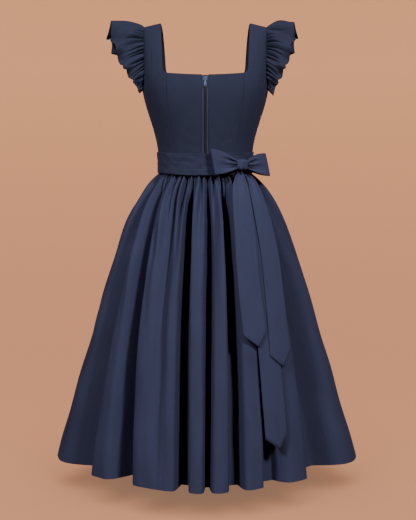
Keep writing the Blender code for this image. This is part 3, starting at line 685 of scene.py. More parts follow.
def cotton(name, colour, pitch):
    """Plain-woven cotton: crossing threads with slubs, a little uneven in its dye, with faint creases."""
    finish = Finish(name)
    across, along = finish.flat_place()
    threads = 2 * math.pi / pitch
    weave = (across * threads).sine() * (along * threads).sine()
    warp_slubs = finish.flat_noise(across * 900, along * 28, 3.0)
    weft_slubs = finish.flat_noise(across * 28, along * 900, 3.0)
    slubs = (warp_slubs + weft_slubs) * 0.5
    dye = finish.noise(finish.place(), 11.0, 3.0)
    creases = finish.flat_noise(across * 42, along * 7, 4.0, 0.6)
    tone = dye * 0.45 + slubs * 0.45 + weave * 0.05 + 0.02
    return finish.surface(
        Base_Color=finish.tones(tone, colour, 0.70, 1.34),
        Roughness=0.74 + 0.16 * slubs,
        Normal=finish.bump(weave * WEAVE_RELIEF + slubs * SLUB_RELIEF + creases * CREASE_RELIEF),
        Sheen_Weight=0.006,
        Sheen_Roughness=0.45,
        Sheen_Tint=(0.58, 0.62, 0.95, 1.0),
        Specular_IOR_Level=0.03,
    )


def thread_finish(name, colour):
    """Sewing thread: twisted, slightly glossier than the cloth."""
    finish = Finish(name)
    fuzz = finish.noise(finish.place(), 2600.0, 2.0)
    return finish.surface(
        Base_Color=finish.tones(fuzz, colour, 0.8, 1.2),
        Roughness=0.65 + 0.2 * fuzz,
        Specular_IOR_Level=0.03,
    )


def tape_finish(name, colour):
    """Zip tape: a tight rib across the tape."""
    finish = Finish(name)
    across, along = finish.flat_place()
    ribs = (along * (2 * math.pi / RIB_PITCH)).sine()
    slubs = finish.flat_noise(across * 700, along * 700, 2.0)
    return finish.surface(
        Base_Color=finish.tones(slubs, colour, 0.75, 1.25),
        Roughness=0.62 + 0.15 * slubs,
        Normal=finish.bump(ribs * RIB_RELIEF + slubs * WEAVE_RELIEF),
        Specular_IOR_Level=0.05,
        Sheen_Weight=0.02,
    )


def metal_finish(name, colour, glint, metallic=0.85):
    """Painted zip metal: satin, with fine handling marks and a little rubbed bright."""
    finish = Finish(name)
    marks = finish.noise(finish.place(), 1400.0, 4.0, 0.7)
    rubbed = finish.noise(finish.place(), 320.0, 2.0)
    return finish.surface(
        Base_Color=finish.tones(rubbed, colour, 0.8, 1.35),
        Roughness=0.50 + 0.12 * marks,
        Metallic=metallic,
        Specular_IOR_Level=glint,
        Normal=finish.bump(marks * SCRATCH_RELIEF),
    )


GLOW_LOW = (0.305, 0.186, 0.123)  # the paper's glow round the foot of the dress
GLOW_HIGH = (0.596, 0.324, 0.171)  # and up the wall


def backdrop_finish(name, colour):
    """Matt paper that glows a little, more so up the wall, so that its shade stays even."""
    finish = Finish(name)
    place = finish.place()
    up = (finish.parts(place)[2] - FLOOR_Z) * (1 / GLOW_RISE)
    return finish.surface(
        Base_Color=finish.tones(finish.noise(place, 0.8, 2.0), colour, 0.985, 1.015),
        Roughness=0.95,
        Specular_IOR_Level=0.1,
        Emission_Color=finish.mix(up, GLOW_LOW, GLOW_HIGH),
        Emission_Strength=0.80,
    )


def weave(context, part):
    """The cotton of one part of the dress: cotton, skirt, ruffle or sash."""
    colour = getattr(context.scene.dirndl_looks, part)
    return cotton(f"{part}_weave", colour, context.scene.dirndl_sizes.weave_pitch)


# ---------- properties


def length_property(name, description, default):
    return FloatProperty(name=name, description=description, default=default, unit="LENGTH", precision=5)


def factor_property(name, description, default):
    return FloatProperty(name=name, description=description, default=default, subtype="FACTOR")


def colour_property(name, subject, default):
    return FloatVectorProperty(
        name=name, description=f"Colour of the {subject}", default=default, subtype="COLOR"
    )


class DirndlSizes(bpy.types.PropertyGroup):
    """Sizes of the cloth and its sewing."""

    cotton_thickness: length_property("Cotton", "Thickness of the single cloth", 0.0010)
    sash_thickness: length_property("Sash", "Thickness of the sash, which is sewn double", 0.0013)
    weave_pitch: length_property("Weave", "From thread to thread", 0.0009)
    gather_depth: length_property("Gathers", "Depth of the skirt's gathers at the waist", 0.0165)
    fold_roundness: factor_property("Fold roundness", "How much a fold's crest is crowned", 0.32)
    hem_turning: length_property("Hem", "Depth of the turned hem", 0.0125)
    edge_roll: length_property("Edge roll", "Radius of a turned edge", 0.0011)
    ruffle_wave: factor_property("Ruffle wave", "Height of a flute as a share of the width", 0.42)


class DirndlLooks(bpy.types.PropertyGroup):
    """Colours of the cloth, thread, zip and backdrop."""

    # The bodice, skirt, ruffles and sash are one navy cotton: the skirt and sash are drawn lighter than the
    # bodice and ruffles, as painted light and shade.
    cotton: colour_property("Bodice", "bodice", (0.0034, 0.0040, 0.0086))
    skirt: colour_property("Skirt", "skirt", (0.0052, 0.0059, 0.0130))
    ruffle: colour_property("Ruffles", "ruffles", (0.0033, 0.0038, 0.0082))
    sash: colour_property("Sash", "sash", (0.0054, 0.0062, 0.0135))
    thread: colour_property("Thread", "stitching", (0.0028, 0.0033, 0.0072))
    tape: colour_property("Zip tape", "zip's tape", (0.0040, 0.0048, 0.0104))
    teeth: colour_property("Zip teeth", "zip's teeth", (0.0007, 0.0008, 0.0012))
    metal: colour_property("Zip slider", "slider and pull", (0.0170, 0.0215, 0.0360))
    backdrop: colour_property("Backdrop", "floor and backdrop", (0.53, 0.238, 0.106))


# ---------- stage

CAMERA_PLACE = Vector((0.0068, -2.2, -0.516))
CAMERA_PITCH_DEG = -2.404
CAMERA_LENS = 58.58
CAMERA_SENSOR = 36
FLOOR_Z = -1.186
GLOW_RISE = 2.0  # the height above the floor where the backdrop glows most
BOWL_FLOOR_RADIUS = 1.6
BOWL_WALL_RADIUS = 6.0
BOWL_HEIGHT = 5.5
BOWL_BEND_STEPS = 12
BOWL_SEGMENTS = 64
ROOM_COLOUR = (1.0, 0.93, 0.86)
ROOM_STRENGTH = 0.08

# Each light falls either on the dress or on the backdrop, as in a studio with flags between the two.
Softbox = namedtuple("Softbox", "name place aim size watts lights_dress")
SOFTBOXES = rows_of(
    Softbox,
    ("key_light_right", (2.0, -2.5, 1.6), (0.0, 0.0, -0.6), (0.6, 0.6), 790.0, True),
    ("key_light_left", (-2.0, -2.5, 1.6), (0.0, 0.0, -0.6), (0.6, 0.6), 660.0, True),
    ("side_light_left", (-3.0, -0.6, 0.8), (0.0, 0.0, -0.6), (0.9, 1.6), 16.0, True),
    ("side_light_right", (3.0, -0.6, 0.8), (0.0, 0.0, -0.6), (0.9, 1.6), 14.0, True),
    ("back_light", (0.0, 3.6, -0.1), (0.0, 0.0, -0.5), (1.6, 1.6), 820.0, True),
    ("top_light", (0.0, -1.6, 3.6), (0.0, 0.0, 0.0), (7.0, 7.0), 300.0, False),
)


def backdrop_bowl(material):
    """Floor and backdrop in one: a disc that curves up into a round wall, seamless from every side."""
    profile = [(0.0, 0.0), (BOWL_FLOOR_RADIUS, 0.0)]
    bend = BOWL_WALL_RADIUS - BOWL_FLOOR_RADIUS
    for i in range(1, BOWL_BEND_STEPS + 1):
        angle = math.radians(90 * i / BOWL_BEND_STEPS)
        profile.append((BOWL_FLOOR_RADIUS + bend * math.sin(angle), bend * (1 - math.cos(angle))))
    profile.append((BOWL_WALL_RADIUS, BOWL_HEIGHT))
    shape = bmesh.new()
    line = [shape.verts.new((radius, 0, FLOOR_Z + height)) for radius, height in profile]
    edges = [shape.edges.new(pair) for pair in zip(line, line[1:])]
    turn = {"cent": (0, 0, 0), "axis": (0, 0, 1), "angle": 2 * math.pi, "steps": BOWL_SEGMENTS}
    bmesh.ops.spin(shape, geom=[*line, *edges], use_merge=True, **turn)
    bmesh.ops.remove_doubles(shape, verts=shape.verts, dist=1e-4)
    bmesh.ops.recalc_face_normals(shape, faces=shape.faces)
    bowl = linked("backdrop", mesh_of("backdrop", shape), material)
    return bowl


def flag(name, backdrop, state):
    """A light linking collection that keeps a light off the backdrop, or on it alone."""
    flagged = bpy.data.collections.new(name)
    flagged.objects.link(backdrop)
    flagged.collection_objects[0].light_linking.link_state = state
    return flagged


def softbox(spec, receivers):
    light = bpy.data.lights.new(spec.name, "AREA")
    light.shape = "RECTANGLE"
    light.size, light.size_y = spec.size
    light.energy = spec.watts
    lamp = bpy.data.objects.new(spec.name, light)
    bpy.context.scene.collection.objects.link(lamp)
    lamp.location = spec.place
    lamp.rotation_euler = (Vector(spec.aim) - Vector(spec.place)).to_track_quat("-Z", "Y").to_euler()
    lamp.visible_camera = False
    lamp.light_linking.receiver_collection = receivers


class DIRNDL_OT_stage(bpy.types.Operator):
    """Make the camera, the lights and the seamless backdrop"""

    bl_idname = "dirndl.stage"
    bl_label = "Stage"

    def execute(self, context):
        scene = context.scene
        for obj in [o for o in scene.objects if o.type in ("CAMERA", "LIGHT") or o.name == "Cube"]:
            bpy.data.objects.remove(obj, do_unlink=True)
        camera = bpy.data.objects.new("camera", bpy.data.cameras.new("camera"))
        scene.collection.objects.link(camera)
        camera.location = CAMERA_PLACE
        camera.rotation_euler = (math.radians(90 + CAMERA_PITCH_DEG), 0, 0)
        camera.data.lens = CAMERA_LENS
        camera.data.sensor_width = CAMERA_SENSOR
        scene.camera = camera
        backdrop = backdrop_bowl(backdrop_finish("backdrop", scene.dirndl_looks.backdrop))
        dress_only = flag("off_the_backdrop", backdrop, "EXCLUDE")
        backdrop_only = flag("on_the_backdrop", backdrop, "INCLUDE")
        backdrop.light_linking.receiver_collection = backdrop_only
        for spec in SOFTBOXES:
            softbox(spec, dress_only if spec.lights_dress else backdrop_only)
        world = scene.world or bpy.data.worlds.new("studio")
        scene.world = world
        world.use_nodes = True
        background = world.node_tree.nodes["Background"]
        background.inputs["Color"].default_value = (*ROOM_COLOUR, 1.0)
        background.inputs["Strength"].default_value = ROOM_STRENGTH
        return {"FINISHED"}


# ---------- bodice

SEAM_ROLL = 0.0017
ZIP_STITCH_IN = 0.0052  # from the zip's edge to its topstitching
NECK_STITCH_IN = 0.0040
NECK_STITCH_FROM_ROW = 46  # the neck edge is stitched from here up the strap
BACK_NECK_STITCH_ROW = -8

# Soft drag lines of the filled-out bodice, seen from the front and from the back.
FRONT_CREASES = rows_of(
    Crease,
    (-0.139, -0.080, -0.136, -0.130, 0.0012, 0.0035),
    (0.137, -0.040, 0.139, -0.095, 0.0007, 0.0040),
    (-0.140, -0.215, -0.118, -0.300, 0.0013, 0.0070),
    (-0.128, -0.232, -0.108, -0.312, -0.0009, 0.0060),
    (0.139, -0.222, 0.119, -0.300, 0.0013, 0.0060),
    (0.126, -0.240, 0.107, -0.318, -0.0008, 0.0060),
    (-0.020, -0.205, -0.052, -0.262, 0.0006, 0.0110),
    (0.018, -0.215, 0.050, -0.272, 0.0006, 0.0110),
    (-0.082, -0.300, -0.030, -0.318, 0.0006, 0.0060),
    (0.084, -0.296, 0.032, -0.312, 0.0005, 0.0060),
    (-0.060, -0.318, -0.012, -0.322, 0.0005, 0.0040),
)
BACK_CREASES = rows_of(
    Crease,
    (-0.137, -0.060, -0.134, -0.120, 0.0010, 0.0040),
    (0.139, -0.080, 0.136, -0.135, 0.0011, 0.0035),
    (-0.120, -0.190, -0.060, -0.235, 0.0010, 0.0090),
    (0.118, -0.200, 0.062, -0.240, 0.0011, 0.0090),
    (-0.100, -0.285, -0.030, -0.305, 0.0012, 0.0060),
    (0.096, -0.292, 0.020, -0.310, 0.0012, 0.0060),
    (-0.070, -0.312, 0.010, -0.322, 0.0009, 0.0045),
    (0.030, -0.130, 0.004, -0.180, 0.0006, 0.0100),
)


def front_centre(sizes):
    """The wearer's left centre front, from the zip's folded edge to the princess seam."""
    up = fine_ends(70, (0.0, 0.002, 0.005, 0.009, 0.015))[:, None]
    share = fine_ends(26, (0.0, 0.006, 0.014, 0.026, 0.050))[None, :]
    zip_x = FRONT_OPENING / 2
    z = blend(WAIST_Z, neckline_z(blend(zip_x, NECK_CORNER_X, share)), up)
    x = blend(zip_x, princess_x(z) + SEAM_OVERLAP, share)
    points = body_point(z - YOKE_Z, turn_at(z - YOKE_Z, x))
    return with_rolled_edges(points, left=sizes.edge_roll, right=SEAM_ROLL, top=sizes.edge_roll)


def side_levels(corner_level):
    torso = np.linspace(WAIST_Z, YOKE_Z, 44) - YOKE_Z
    corner = corner_level + np.array([0.006, 0.012, 0.020, 0.030, 0.045, 0.065])
    strap = np.linspace(corner_level + 0.09, 1.0, 34)
    low = np.linspace(0, corner_level, 6)[1:] if corner_level > 0 else []
    return np.concatenate([torso, low, corner, strap])


def side_panel(front):
    """The wearer's left side panel with its strap, of the front or of the back."""
    corner_level = 0.0 if front else float(level_at(BACK_NECK_Z))
    level = side_levels(corner_level)[:, None]
    seam = turn_at(level, princess_x(np.minimum(section_at(level).z, YOKE_Z)) - SEAM_OVERLAP)
    strap = turn_at(level, strap_inner_x(np.maximum(level - corner_level, 0)))
    inner = np.where(level <= corner_level, seam, strap)
    turn = blend(inner, armhole_turn(level), fine_ends(24)[None, :])
    if not front:
        turn = 180 - turn[:, ::-1]
    points = body_point(level, turn)
    inner_roll, outer_roll = SEAM_ROLL, SEAM_ROLL * 1.2
    left, right = (inner_roll, outer_roll) if front else (outer_roll, inner_roll)
    return with_rolled_edges(points, left=left, right=right, top=SEAM_ROLL / 2)


def back_centre(sizes):
    """The centre back, between the two back princess seams."""
    z = np.concatenate([np.linspace(WAIST_Z, YOKE_Z, 50), np.linspace(YOKE_Z, BACK_NECK_Z, 14)[1:]])
    level = level_at(z)[:, None]
    seam = turn_at(level, princess_x(np.minimum(z, YOKE_Z))[:, None] + SEAM_OVERLAP)
    share = fine_ends(52, (0.0, 0.003, 0.007, 0.013, 0.022))[None, :]
    points = body_point(level, 180 - seam + 2 * seam * share)
    return with_rolled_edges(points, left=SEAM_ROLL, right=SEAM_ROLL, top=sizes.edge_roll)


# Each bodice piece's flat cut: the rectangle it is cut from and its own area.
Pattern = namedtuple("Pattern", "width length area")


def bodice_piece(name, points, material, sizes):
    piece = cloth_piece(name, points, material, sizes.cotton_thickness)


def nearest_column(points, distance, from_right=False):
    """The column that lies about that far from an edge, halfway up."""
    across = run_lengths(points, 1)[len(points) // 2]
    away = across[-1] - across if from_right else across
    return int(np.argmin(np.abs(away - distance)))


class DIRNDL_OT_bodice(bpy.types.Operator):
    """Sew the bodice: centre front, side and back panels, with the edge stitching"""

    bl_idname = "dirndl.bodice"
    bl_label = "Bodice"

    def execute(self, context):
        sizes = context.scene.dirndl_sizes
        material = weave(context, "cotton")
        runs = []
        for name, points, front in (
            ("bodice_front_centre", front_centre(sizes), True),
            ("bodice_front_side", side_panel(True), True),
            ("bodice_back_side", side_panel(False), False),
        ):
            for side, grid in (("left", points), ("right", mirrored(points))):
                grid = pressed(grid, FRONT_CREASES if front else BACK_CREASES, front)
                bodice_piece(f"{name}_{side}", grid, material, sizes)
                if name == "bodice_front_centre":
                    runs.append(column_path(grid, nearest_column(grid, ZIP_STITCH_IN, side == "right")))
                if name == "bodice_front_side":
                    neck = nearest_column(grid, NECK_STITCH_IN, side == "right")
                    runs.append([values[NECK_STITCH_FROM_ROW:] for values in column_path(grid, neck)])
        back = pressed(back_centre(sizes), BACK_CREASES, False)
        bodice_piece("bodice_back_centre", back, material, sizes)
        runs.append(row_path(back, BACK_NECK_STITCH_ROW))
        stitching(context, "bodice_stitching", runs, EDGE_STITCH)
        return {"FINISHED"}


# ---------- ruffles

RUFFLE_COLUMNS = 420
RUFFLE_ROWS = 26
RUFFLE_GATHERS = 33
RUFFLE_GATHER_DEPTH = 0.0170
RUFFLE_GATHER_REACH = 0.030
RUFFLE_FOLD_HEIGHT = 0.0070
RUFFLE_LEAN = 0.16  # this and the next are shares of its width
RUFFLE_PUFF = 0.11
RUFFLE_FACES = (0.0005, -0.0005)  # how far its two faces are from the middle of its cloth
RUFFLE_TUCK = (0.0012, 0.0007)  # how far it starts under the strap's edge, sideways and inwards
ARMHOLE_LEVELS = 48
ARMHOLE_LEVELS_LOW = 12


def armhole_path():
    """Points along the wearer's left armhole edge, from the front over the shoulder and down the back."""
    above = ARMHOLE_LEVELS - ARMHOLE_LEVELS_LOW
    low = RUFFLE_START_LEVEL * (1 - np.arange(ARMHOLE_LEVELS_LOW) / ARMHOLE_LEVELS_LOW)
    levels = np.concatenate([low, np.arange(above + 1) / above])
    front = body_point(levels, armhole_turn(levels))
    back = body_point(levels[-2::-1], 180 - armhole_turn(levels[-2::-1]))
    return np.concatenate([front, back])


def resampled(points, count):
    lengths = run_lengths(points, 0)
    return read_along(points, lengths, np.linspace(0, lengths[-1], count + 1))


Flute = namedtuple("Flute", "valley height lean")

# The ruffle's flutes, from the front end over the shoulder to the back end: where each valley starts at the
# armhole, and how high and how far leaned over the flute after it is.
FLUTES = rows_of(
    Flute,
    (0.000, 0.5, 0.3),
    (0.075, 1.0, 0.9),
    (0.165, 1.1, 0.2),
    (0.275, 0.9, 0.1),
    (0.420, 1.0, -0.2),
    (0.550, 0.9, 0.3),
    (0.670, 1.1, -0.3),
    (0.780, 0.9, -0.6),
    (0.890, 0.8, -0.4),
    (1.000, 0.4, 0.0),
)


def ruffle(top_width, taper, sizes, seed):
    """The wearer's left ruffle: a strip gathered to the armhole, fluting more and more towards its edge."""
    path = resampled(armhole_path(), RUFFLE_COLUMNS)[None, :, :]
    share = np.linspace(0, 1, RUFFLE_COLUMNS + 1)[None, :]
    out = np.concatenate([np.linspace(0, 0.94, RUFFLE_ROWS - 4), [0.955, 0.970, 0.985, 1.0]])[:, None]
    rise = np.sin(np.pi * share)
    tangent = unit(np.gradient(path, axis=1) * (0, 1, 1))
    outward = stacked(0.0, -tangent[..., 2], tangent[..., 1])
    behind = smoothstep((share - 0.46) / 0.14)
    fullness = 0.93 + 0.20 * behind - 0.36 * smoothstep((share - 0.58) / 0.3)
    width = RUFFLE_END_WIDTH + (top_width - RUFFLE_END_WIDTH) * rise ** (taper - 0.3 * behind) * fullness
    lift = np.radians(blend(RUFFLE_LIFT_END_DEG, RUFFLE_LIFT_TOP_DEG, rise))[..., None]
    droop = (np.radians(RUFFLE_DROOP_DEG) * (1 - rise) ** 0.5 * (1 - 0.8 * behind))[..., None]
    reach = SIDEWAYS * np.cos(lift) + outward * np.sin(lift)
    normal = outward * np.cos(lift) - 0.7 * SIDEWAYS * np.sin(lift)
    reach = reach * np.cos(droop) - UPWARDS * np.sin(droop)
    numbers = range(len(FLUTES))
    count = spline([flute.valley for flute in FLUTES], numbers, share + 0.010 * out * np.cos(np.pi * share))
    height = np.interp(count, numbers, [flute.height for flute in FLUTES])
    leaned = np.interp(count, numbers, [flute.lean for flute in FLUTES])
    crest = np.sin(np.pi * count) ** 2 - 0.80
    wave = crest * height * sizes.ruffle_wave * width * (0.25 * out + 0.75 * out**2.2)
    lean = leaned * np.sin(2 * np.pi * count) * RUFFLE_LEAN * width * out**2.2
    gather_count = RUFFLE_GATHERS * share + 0.22 * soft_noise(share * 30, out * 0.8, seed + 1)
    pocket = 1 - np.abs(np.sin(np.pi * gather_count)) ** 0.55
    uneven = 1 + 0.45 * soft_noise(share * 24, 0.3, seed + 2)
    near_seam = fading(out * width, RUFFLE_GATHER_REACH, 1.3) * smoothstep(out * width / 0.002)
    gathers = -RUFFLE_GATHER_DEPTH * pocket * uneven * near_seam
    uneven_fold = RUFFLE_FOLD_HEIGHT * soft_noise(share * 17, out * 1.1, seed + 3)
    folds = uneven_fold * np.sin(np.pi * np.clip(out * 1.15, 0, 1)) * rise
    puff = RUFFLE_PUFF * width * np.sin(np.pi * out**0.7) * rise
    sag = -width * out**1.3 * (0.10 + 0.06 * (1 - rise))
    return (
        path - SIDEWAYS * RUFFLE_TUCK[0] - outward * RUFFLE_TUCK[1]
        + reach * (width * out)[..., None]
        + normal * (wave + gathers + folds)[..., None]
        + outward * puff[..., None]
        + tangent * lean[..., None]
        + UPWARDS * sag[..., None]
    )


class DIRNDL_OT_ruffles(bpy.types.Operator):
    """Gather a ruffle into each armhole"""

    bl_idname = "dirndl.ruffles"
    bl_label = "Ruffles"

    def execute(self, context):
        sizes = context.scene.dirndl_sizes
        material = weave(context, "ruffle")
        runs = []
        for side, top_width, taper, seed in (
            ("left", RUFFLE_TOP_WIDTH_LEFT, 0.68, 3),
            ("right", RUFFLE_TOP_WIDTH_RIGHT, 0.92, 5),
        ):
            points = ruffle(top_width, taper, sizes, seed)
            if side == "right":
                points = mirrored(points)
            piece = cloth_piece(
                f"ruffle_{side}", points, material, sizes.cotton_thickness,
                offset=0.0, width_row=-1,
            )
            path, normals = row_path(points, STITCH_ROWS[1])
            runs += [(path + normals * face, normals * np.sign(face)) for face in RUFFLE_FACES]
        stitching(context, "ruffle_stitching", runs, FINE_STITCH)
        return {"FINISHED"}


# ---------- skirt

GATHERS_END_DROP = 0.060
FOLDS_END_DROP = 0.330
HEM_STITCH_ROW = 5
STITCH_DIMPLE = 0.00005
HEM_ROWS = (-0.0012, 0.0, 0.0012, 0.004, 0.008, 0.0112, 0.0121)  # below the top of the turning
HEM_INSIDE_UP = (0.008, 0.004, 0.0014, 0.0004)  # the turning's rows above the edge, and how far inside
HEM_INSIDE = (0.0027, 0.0028, 0.0028, 0.0023, 0.0014)
SKIRT_ROLL = 0.0012
SKIRT_EASE = 0.0022  # how far the cloth lies inside the solid's crests
SWELL = 0.0016  # the broad and the small unevenness of the cloth, and the drops where they are full
RIPPLE = 0.0007
SWELL_DROP = 0.12
RIPPLE_DROP = 0.05
HEM_WIDTH_ROW = 12
SKIRT_CLOTH_SHARE = 0.8  # how thick its cloth is drawn against the bodice's

# Folds that start in the gathers and run out on the way down: in which fold, at what share of its width at
# the waist and lower down, how far down they reach, how deep and how wide they are.
Pleat = namedtuple("Pleat", "fold share_top share_low end_drop depth width")
PLEATS = rows_of(
    Pleat,
    (0, 0.62, 0.70, 0.210, 0.012, 0.050),
    (0, 0.82, 0.86, 0.160, 0.008, 0.040),
    (1, 0.42, 0.30, 0.200, 0.010, 0.090),
    (2, 0.30, 0.36, 0.170, 0.008, 0.060),
    (2, 0.62, 0.60, 0.110, 0.008, 0.050),
    (3, 0.50, 0.44, 0.150, 0.008, 0.070),
    (4, 0.36, 0.42, 0.330, 0.006, 0.070),
    (4, 0.68, 0.62, 0.120, 0.008, 0.060),
    (5, 0.34, 0.26, 0.300, 0.010, 0.070),
    (5, 0.72, 0.78, 0.220, 0.009, 0.060),
    (6, 0.30, 0.34, 0.140, 0.008, 0.050),
    (6, 0.70, 0.72, 0.200, 0.006, 0.050),
    (7, 0.34, 0.30, 0.180, 0.009, 0.050),
    (7, 0.70, 0.74, 0.240, 0.009, 0.050),
    (8, 0.16, 0.14, 0.180, 0.009, 0.040),
    (8, 0.40, 0.34, 0.240, 0.010, 0.050),
    (9, 0.30, 0.36, 0.190, 0.010, 0.080),
    (9, 0.70, 0.64, 0.260, 0.008, 0.080),
    (10, 0.40, 0.46, 0.220, 0.011, 0.080),
    (11, 0.28, 0.30, 0.160, 0.010, 0.070),
    (11, 0.66, 0.58, 0.300, 0.010, 0.080),
    (12, 0.50, 0.44, 0.200, 0.012, 0.080),
    (13, 0.30, 0.24, 0.240, 0.010, 0.070),
    (13, 0.70, 0.70, 0.150, 0.009, 0.060),
    (14, 0.44, 0.52, 0.280, 0.012, 0.080),
    (15, 0.34, 0.30, 0.180, 0.010, 0.070),
    (15, 0.72, 0.66, 0.230, 0.008, 0.070),
    (16, 0.26, 0.34, 0.200, 0.010, 0.060),
    (16, 0.66, 0.60, 0.160, 0.009, 0.060),
)


def below_collar(drop):
    return np.maximum(0.0, drop - COLLAR_DROP)


def flared(flare, drop):
    below = below_collar(drop)
    return flare.waist + flare.slope * below + flare.puff * (1 - np.exp(-below / PUFF_DROP))


def skirt_squareness(drop):
    top = BODICE_SECTIONS[0].squareness
    return top + (HEM_SQUARENESS - top) * drop / SKIRT_LENGTH


def skirt_dip(cosine, drop):
    return waist_dip(cosine, (DIP_FADE_DROP - drop) / (DIP_FADE_DROP - COLLAR_DROP))


def hem_rise(turn, drop):
    return HEM_RISE * np.sin(2 * turn) ** 2 * smoothstep(drop / SKIRT_LENGTH)


def valley_values(index, drop):
    """Angle and depth of the valleys with these numbers, at these drops, and the rest of their row."""
    row = Valley(*(np.array(column)[index % len(VALLEYS)] for column in zip(*VALLEYS)))
    past_middle = np.clip((drop - MID_DROP) / (SKIRT_LENGTH - MID_DROP), 0, None)
    upper = blend(row.waist_deg, row.mid_deg, smoothstep(drop / MID_DROP))
    lower = blend(row.mid_deg, row.hem_deg, past_middle)
    angle = np.where(drop < MID_DROP, upper, lower)
    depth = row.mid_depth * grown(drop) + (row.hem_depth - row.mid_depth) * past_middle
    return angle, depth, row


def grown(drop):
    return 1 - fading(below_collar(drop), VALLEY_GROWTH, 1.3)


Gather = namedtuple("Gather", "position spacing depth reach drift")


def waist_gathers():
    """The gathers under the sash: close uneven troughs. Every second one runs out soon."""
    draw = np.random.default_rng(SEED)
    gathers = []
    for fold, valley in enumerate(VALLEYS):
        after = VALLEYS[(fold + 1) % len(VALLEYS)].waist_deg + (360 if fold == len(VALLEYS) - 1 else 0)
        count = max(2, round((after - valley.waist_deg) / GATHER_SPACING_DEG))
        gathers.append(Gather(float(fold), 1 / count, 1.0, 0.20, 0.0))
        for k in range(1, count):
            lasting = (k + fold) % 2 == 0
            position = fold + (k + draw.uniform(-0.30, 0.30)) / count
            reach = draw.uniform(0.15, 0.32) if lasting else draw.uniform(0.050, 0.120)
            depth = draw.uniform(0.6, 1.3) * (1.1 if lasting else 0.8)
            gathers.append(Gather(position, 1 / count, depth, reach, draw.uniform(-0.45, 0.45) / count))
    return gathers


GATHERS = waist_gathers()


def from_line(position, line):
    """How far a position is from a line's, in folds, the short way round."""
    half = len(VALLEYS) / 2
    return (position - line + half) % len(VALLEYS) - half


def gather_troughs(position, drop):
    total = np.zeros(np.broadcast(position, drop).shape)
    for gather in GATHERS:
        way = drop / gather.reach
        depth = gather.depth * (0.25 + 0.75 * smoothstep(drop / 0.014)) * (1 + 0.5 * way)
        width = gather.spacing * (0.32 + 0.30 * np.clip(way, 0, 1.5))
        line = gather.position + gather.drift * np.clip(way, 0, 1)
        total += depth * fading(way, 1, 2.2) * fading(from_line(position, line), width)
    return total


def running_pleats(position, drop):
    """The pleats of the table above, as troughs that deepen below the sash and run out further down."""
    total = np.zeros(np.broadcast(position, drop).shape)
    for pleat in PLEATS:
        way = np.clip(drop / pleat.end_drop, 0, 1)
        centre = pleat.fold + pleat.share_top + (pleat.share_low - pleat.share_top) * way
        width = pleat.width * (1.0 + 1.3 * way)
        fade = smoothstep(drop / 0.03) * (1 - way) ** 0.8
        total += 1.5 * pleat.depth * fade * fading(np.abs(from_line(position, centre)), width, 1.4)
    return total


def skirt_points(position, drop, sizes):
    """Points on the skirt. Position counts the folds round it, and is whole at the bottom of a valley."""
    fold = np.floor(position + 1e-9).astype(int)
    share = position - fold
    angle_left, depth_left, left = valley_values(fold, drop)
    angle_right, depth_right, right = valley_values(fold + 1, drop)
    angle_right = np.where(angle_right < angle_left, angle_right + 360, angle_right)
    near_left = share < 0.5
    softness = np.where(near_left, left.after, right.before)
    gap = np.where(near_left, left.gap, right.gap)
    overlap = np.maximum(1.06 - 0.88 * softness, 0.1) * grown(drop)
    from_valley = 0.5 - np.abs(share - 0.5)
    bottom = VALLEY_FLOOR * np.minimum(2 * gap, 1)
    from_crest = (0.5 - from_valley) / (0.5 - VALLEY_FLOOR)
    opened = smoothstep(from_valley / VALLEY_FLOOR) * np.minimum(from_crest, 1)
    opened = opened * GAP_WIDTH * gap * grown(drop) * np.where(near_left, 1, -1)
    across = share - overlap * np.sin(2 * np.pi * share) / (2 * np.pi) + opened
    turn = np.radians(blend(angle_left, angle_right, across))
    depth = np.where(near_left, depth_left, depth_right)
    crown = sizes.fold_roundness * (0.35 + 0.65 * softness)
    up_wall = np.clip((from_valley - bottom) / (0.5 - bottom), 0, 1) / 2
    wall = np.cos(np.pi * up_wall)
    inwards = depth * ((1 - crown) * wall ** (13 - 10 * softness) + crown * wall**2)
    inwards = inwards + sizes.gather_depth * gather_troughs(position, drop) + running_pleats(position, drop)
    swell = SWELL * soft_noise(position * 1.9, drop * 7.0, SEED + 1) * smoothstep(drop / SWELL_DROP)
    ripple = RIPPLE * soft_noise(position * 6.0, drop * 9.0, SEED + 2) * smoothstep(drop / RIPPLE_DROP)
    inwards = inwards + SKIRT_EASE * smoothstep(drop / SWELL_DROP) + swell + ripple
    sine, cosine = np.sin(turn), np.cos(turn)
    half_depth = np.where(cosine >= 0, flared(SKIRT_FRONT, drop), flared(SKIRT_BACK, drop)) - inwards
    half_width = flared(SKIRT_WIDTH, drop) - inwards
    power = 2 / skirt_squareness(drop)
    x = half_width * signed_power(sine, power)
    y = -half_depth * signed_power(cosine, power)
    hem_share = smoothstep(drop / SKIRT_LENGTH)
    x = x * (1 + HEM_SWAY * np.clip(sine, 0, 1) * hem_share)
    sink = HEM_SINK * np.clip(cosine / HEM_SINK_COSINE, 0, 1) * hem_share
    z = WAIST_Z - drop + hem_rise(turn, drop) - skirt_dip(cosine, drop) - sink
    return stacked(x, y, z)


def skirt_drops(sizes):
    """Heights of the skirt's rows below the waist seam, close together in the gathers and at the hem."""
    gathers = np.linspace(SEAM_HALF_GAP, GATHERS_END_DROP, 22)
    upper = blend(GATHERS_END_DROP, FOLDS_END_DROP, np.linspace(0, 1, 26)[1:] ** 1.3)
    turning = SKIRT_LENGTH - sizes.hem_turning
    lower = np.linspace(FOLDS_END_DROP, turning - 0.004, 22)[1:]
    return np.concatenate([gathers, upper, lower, turning + np.array(HEM_ROWS), [SKIRT_LENGTH]])


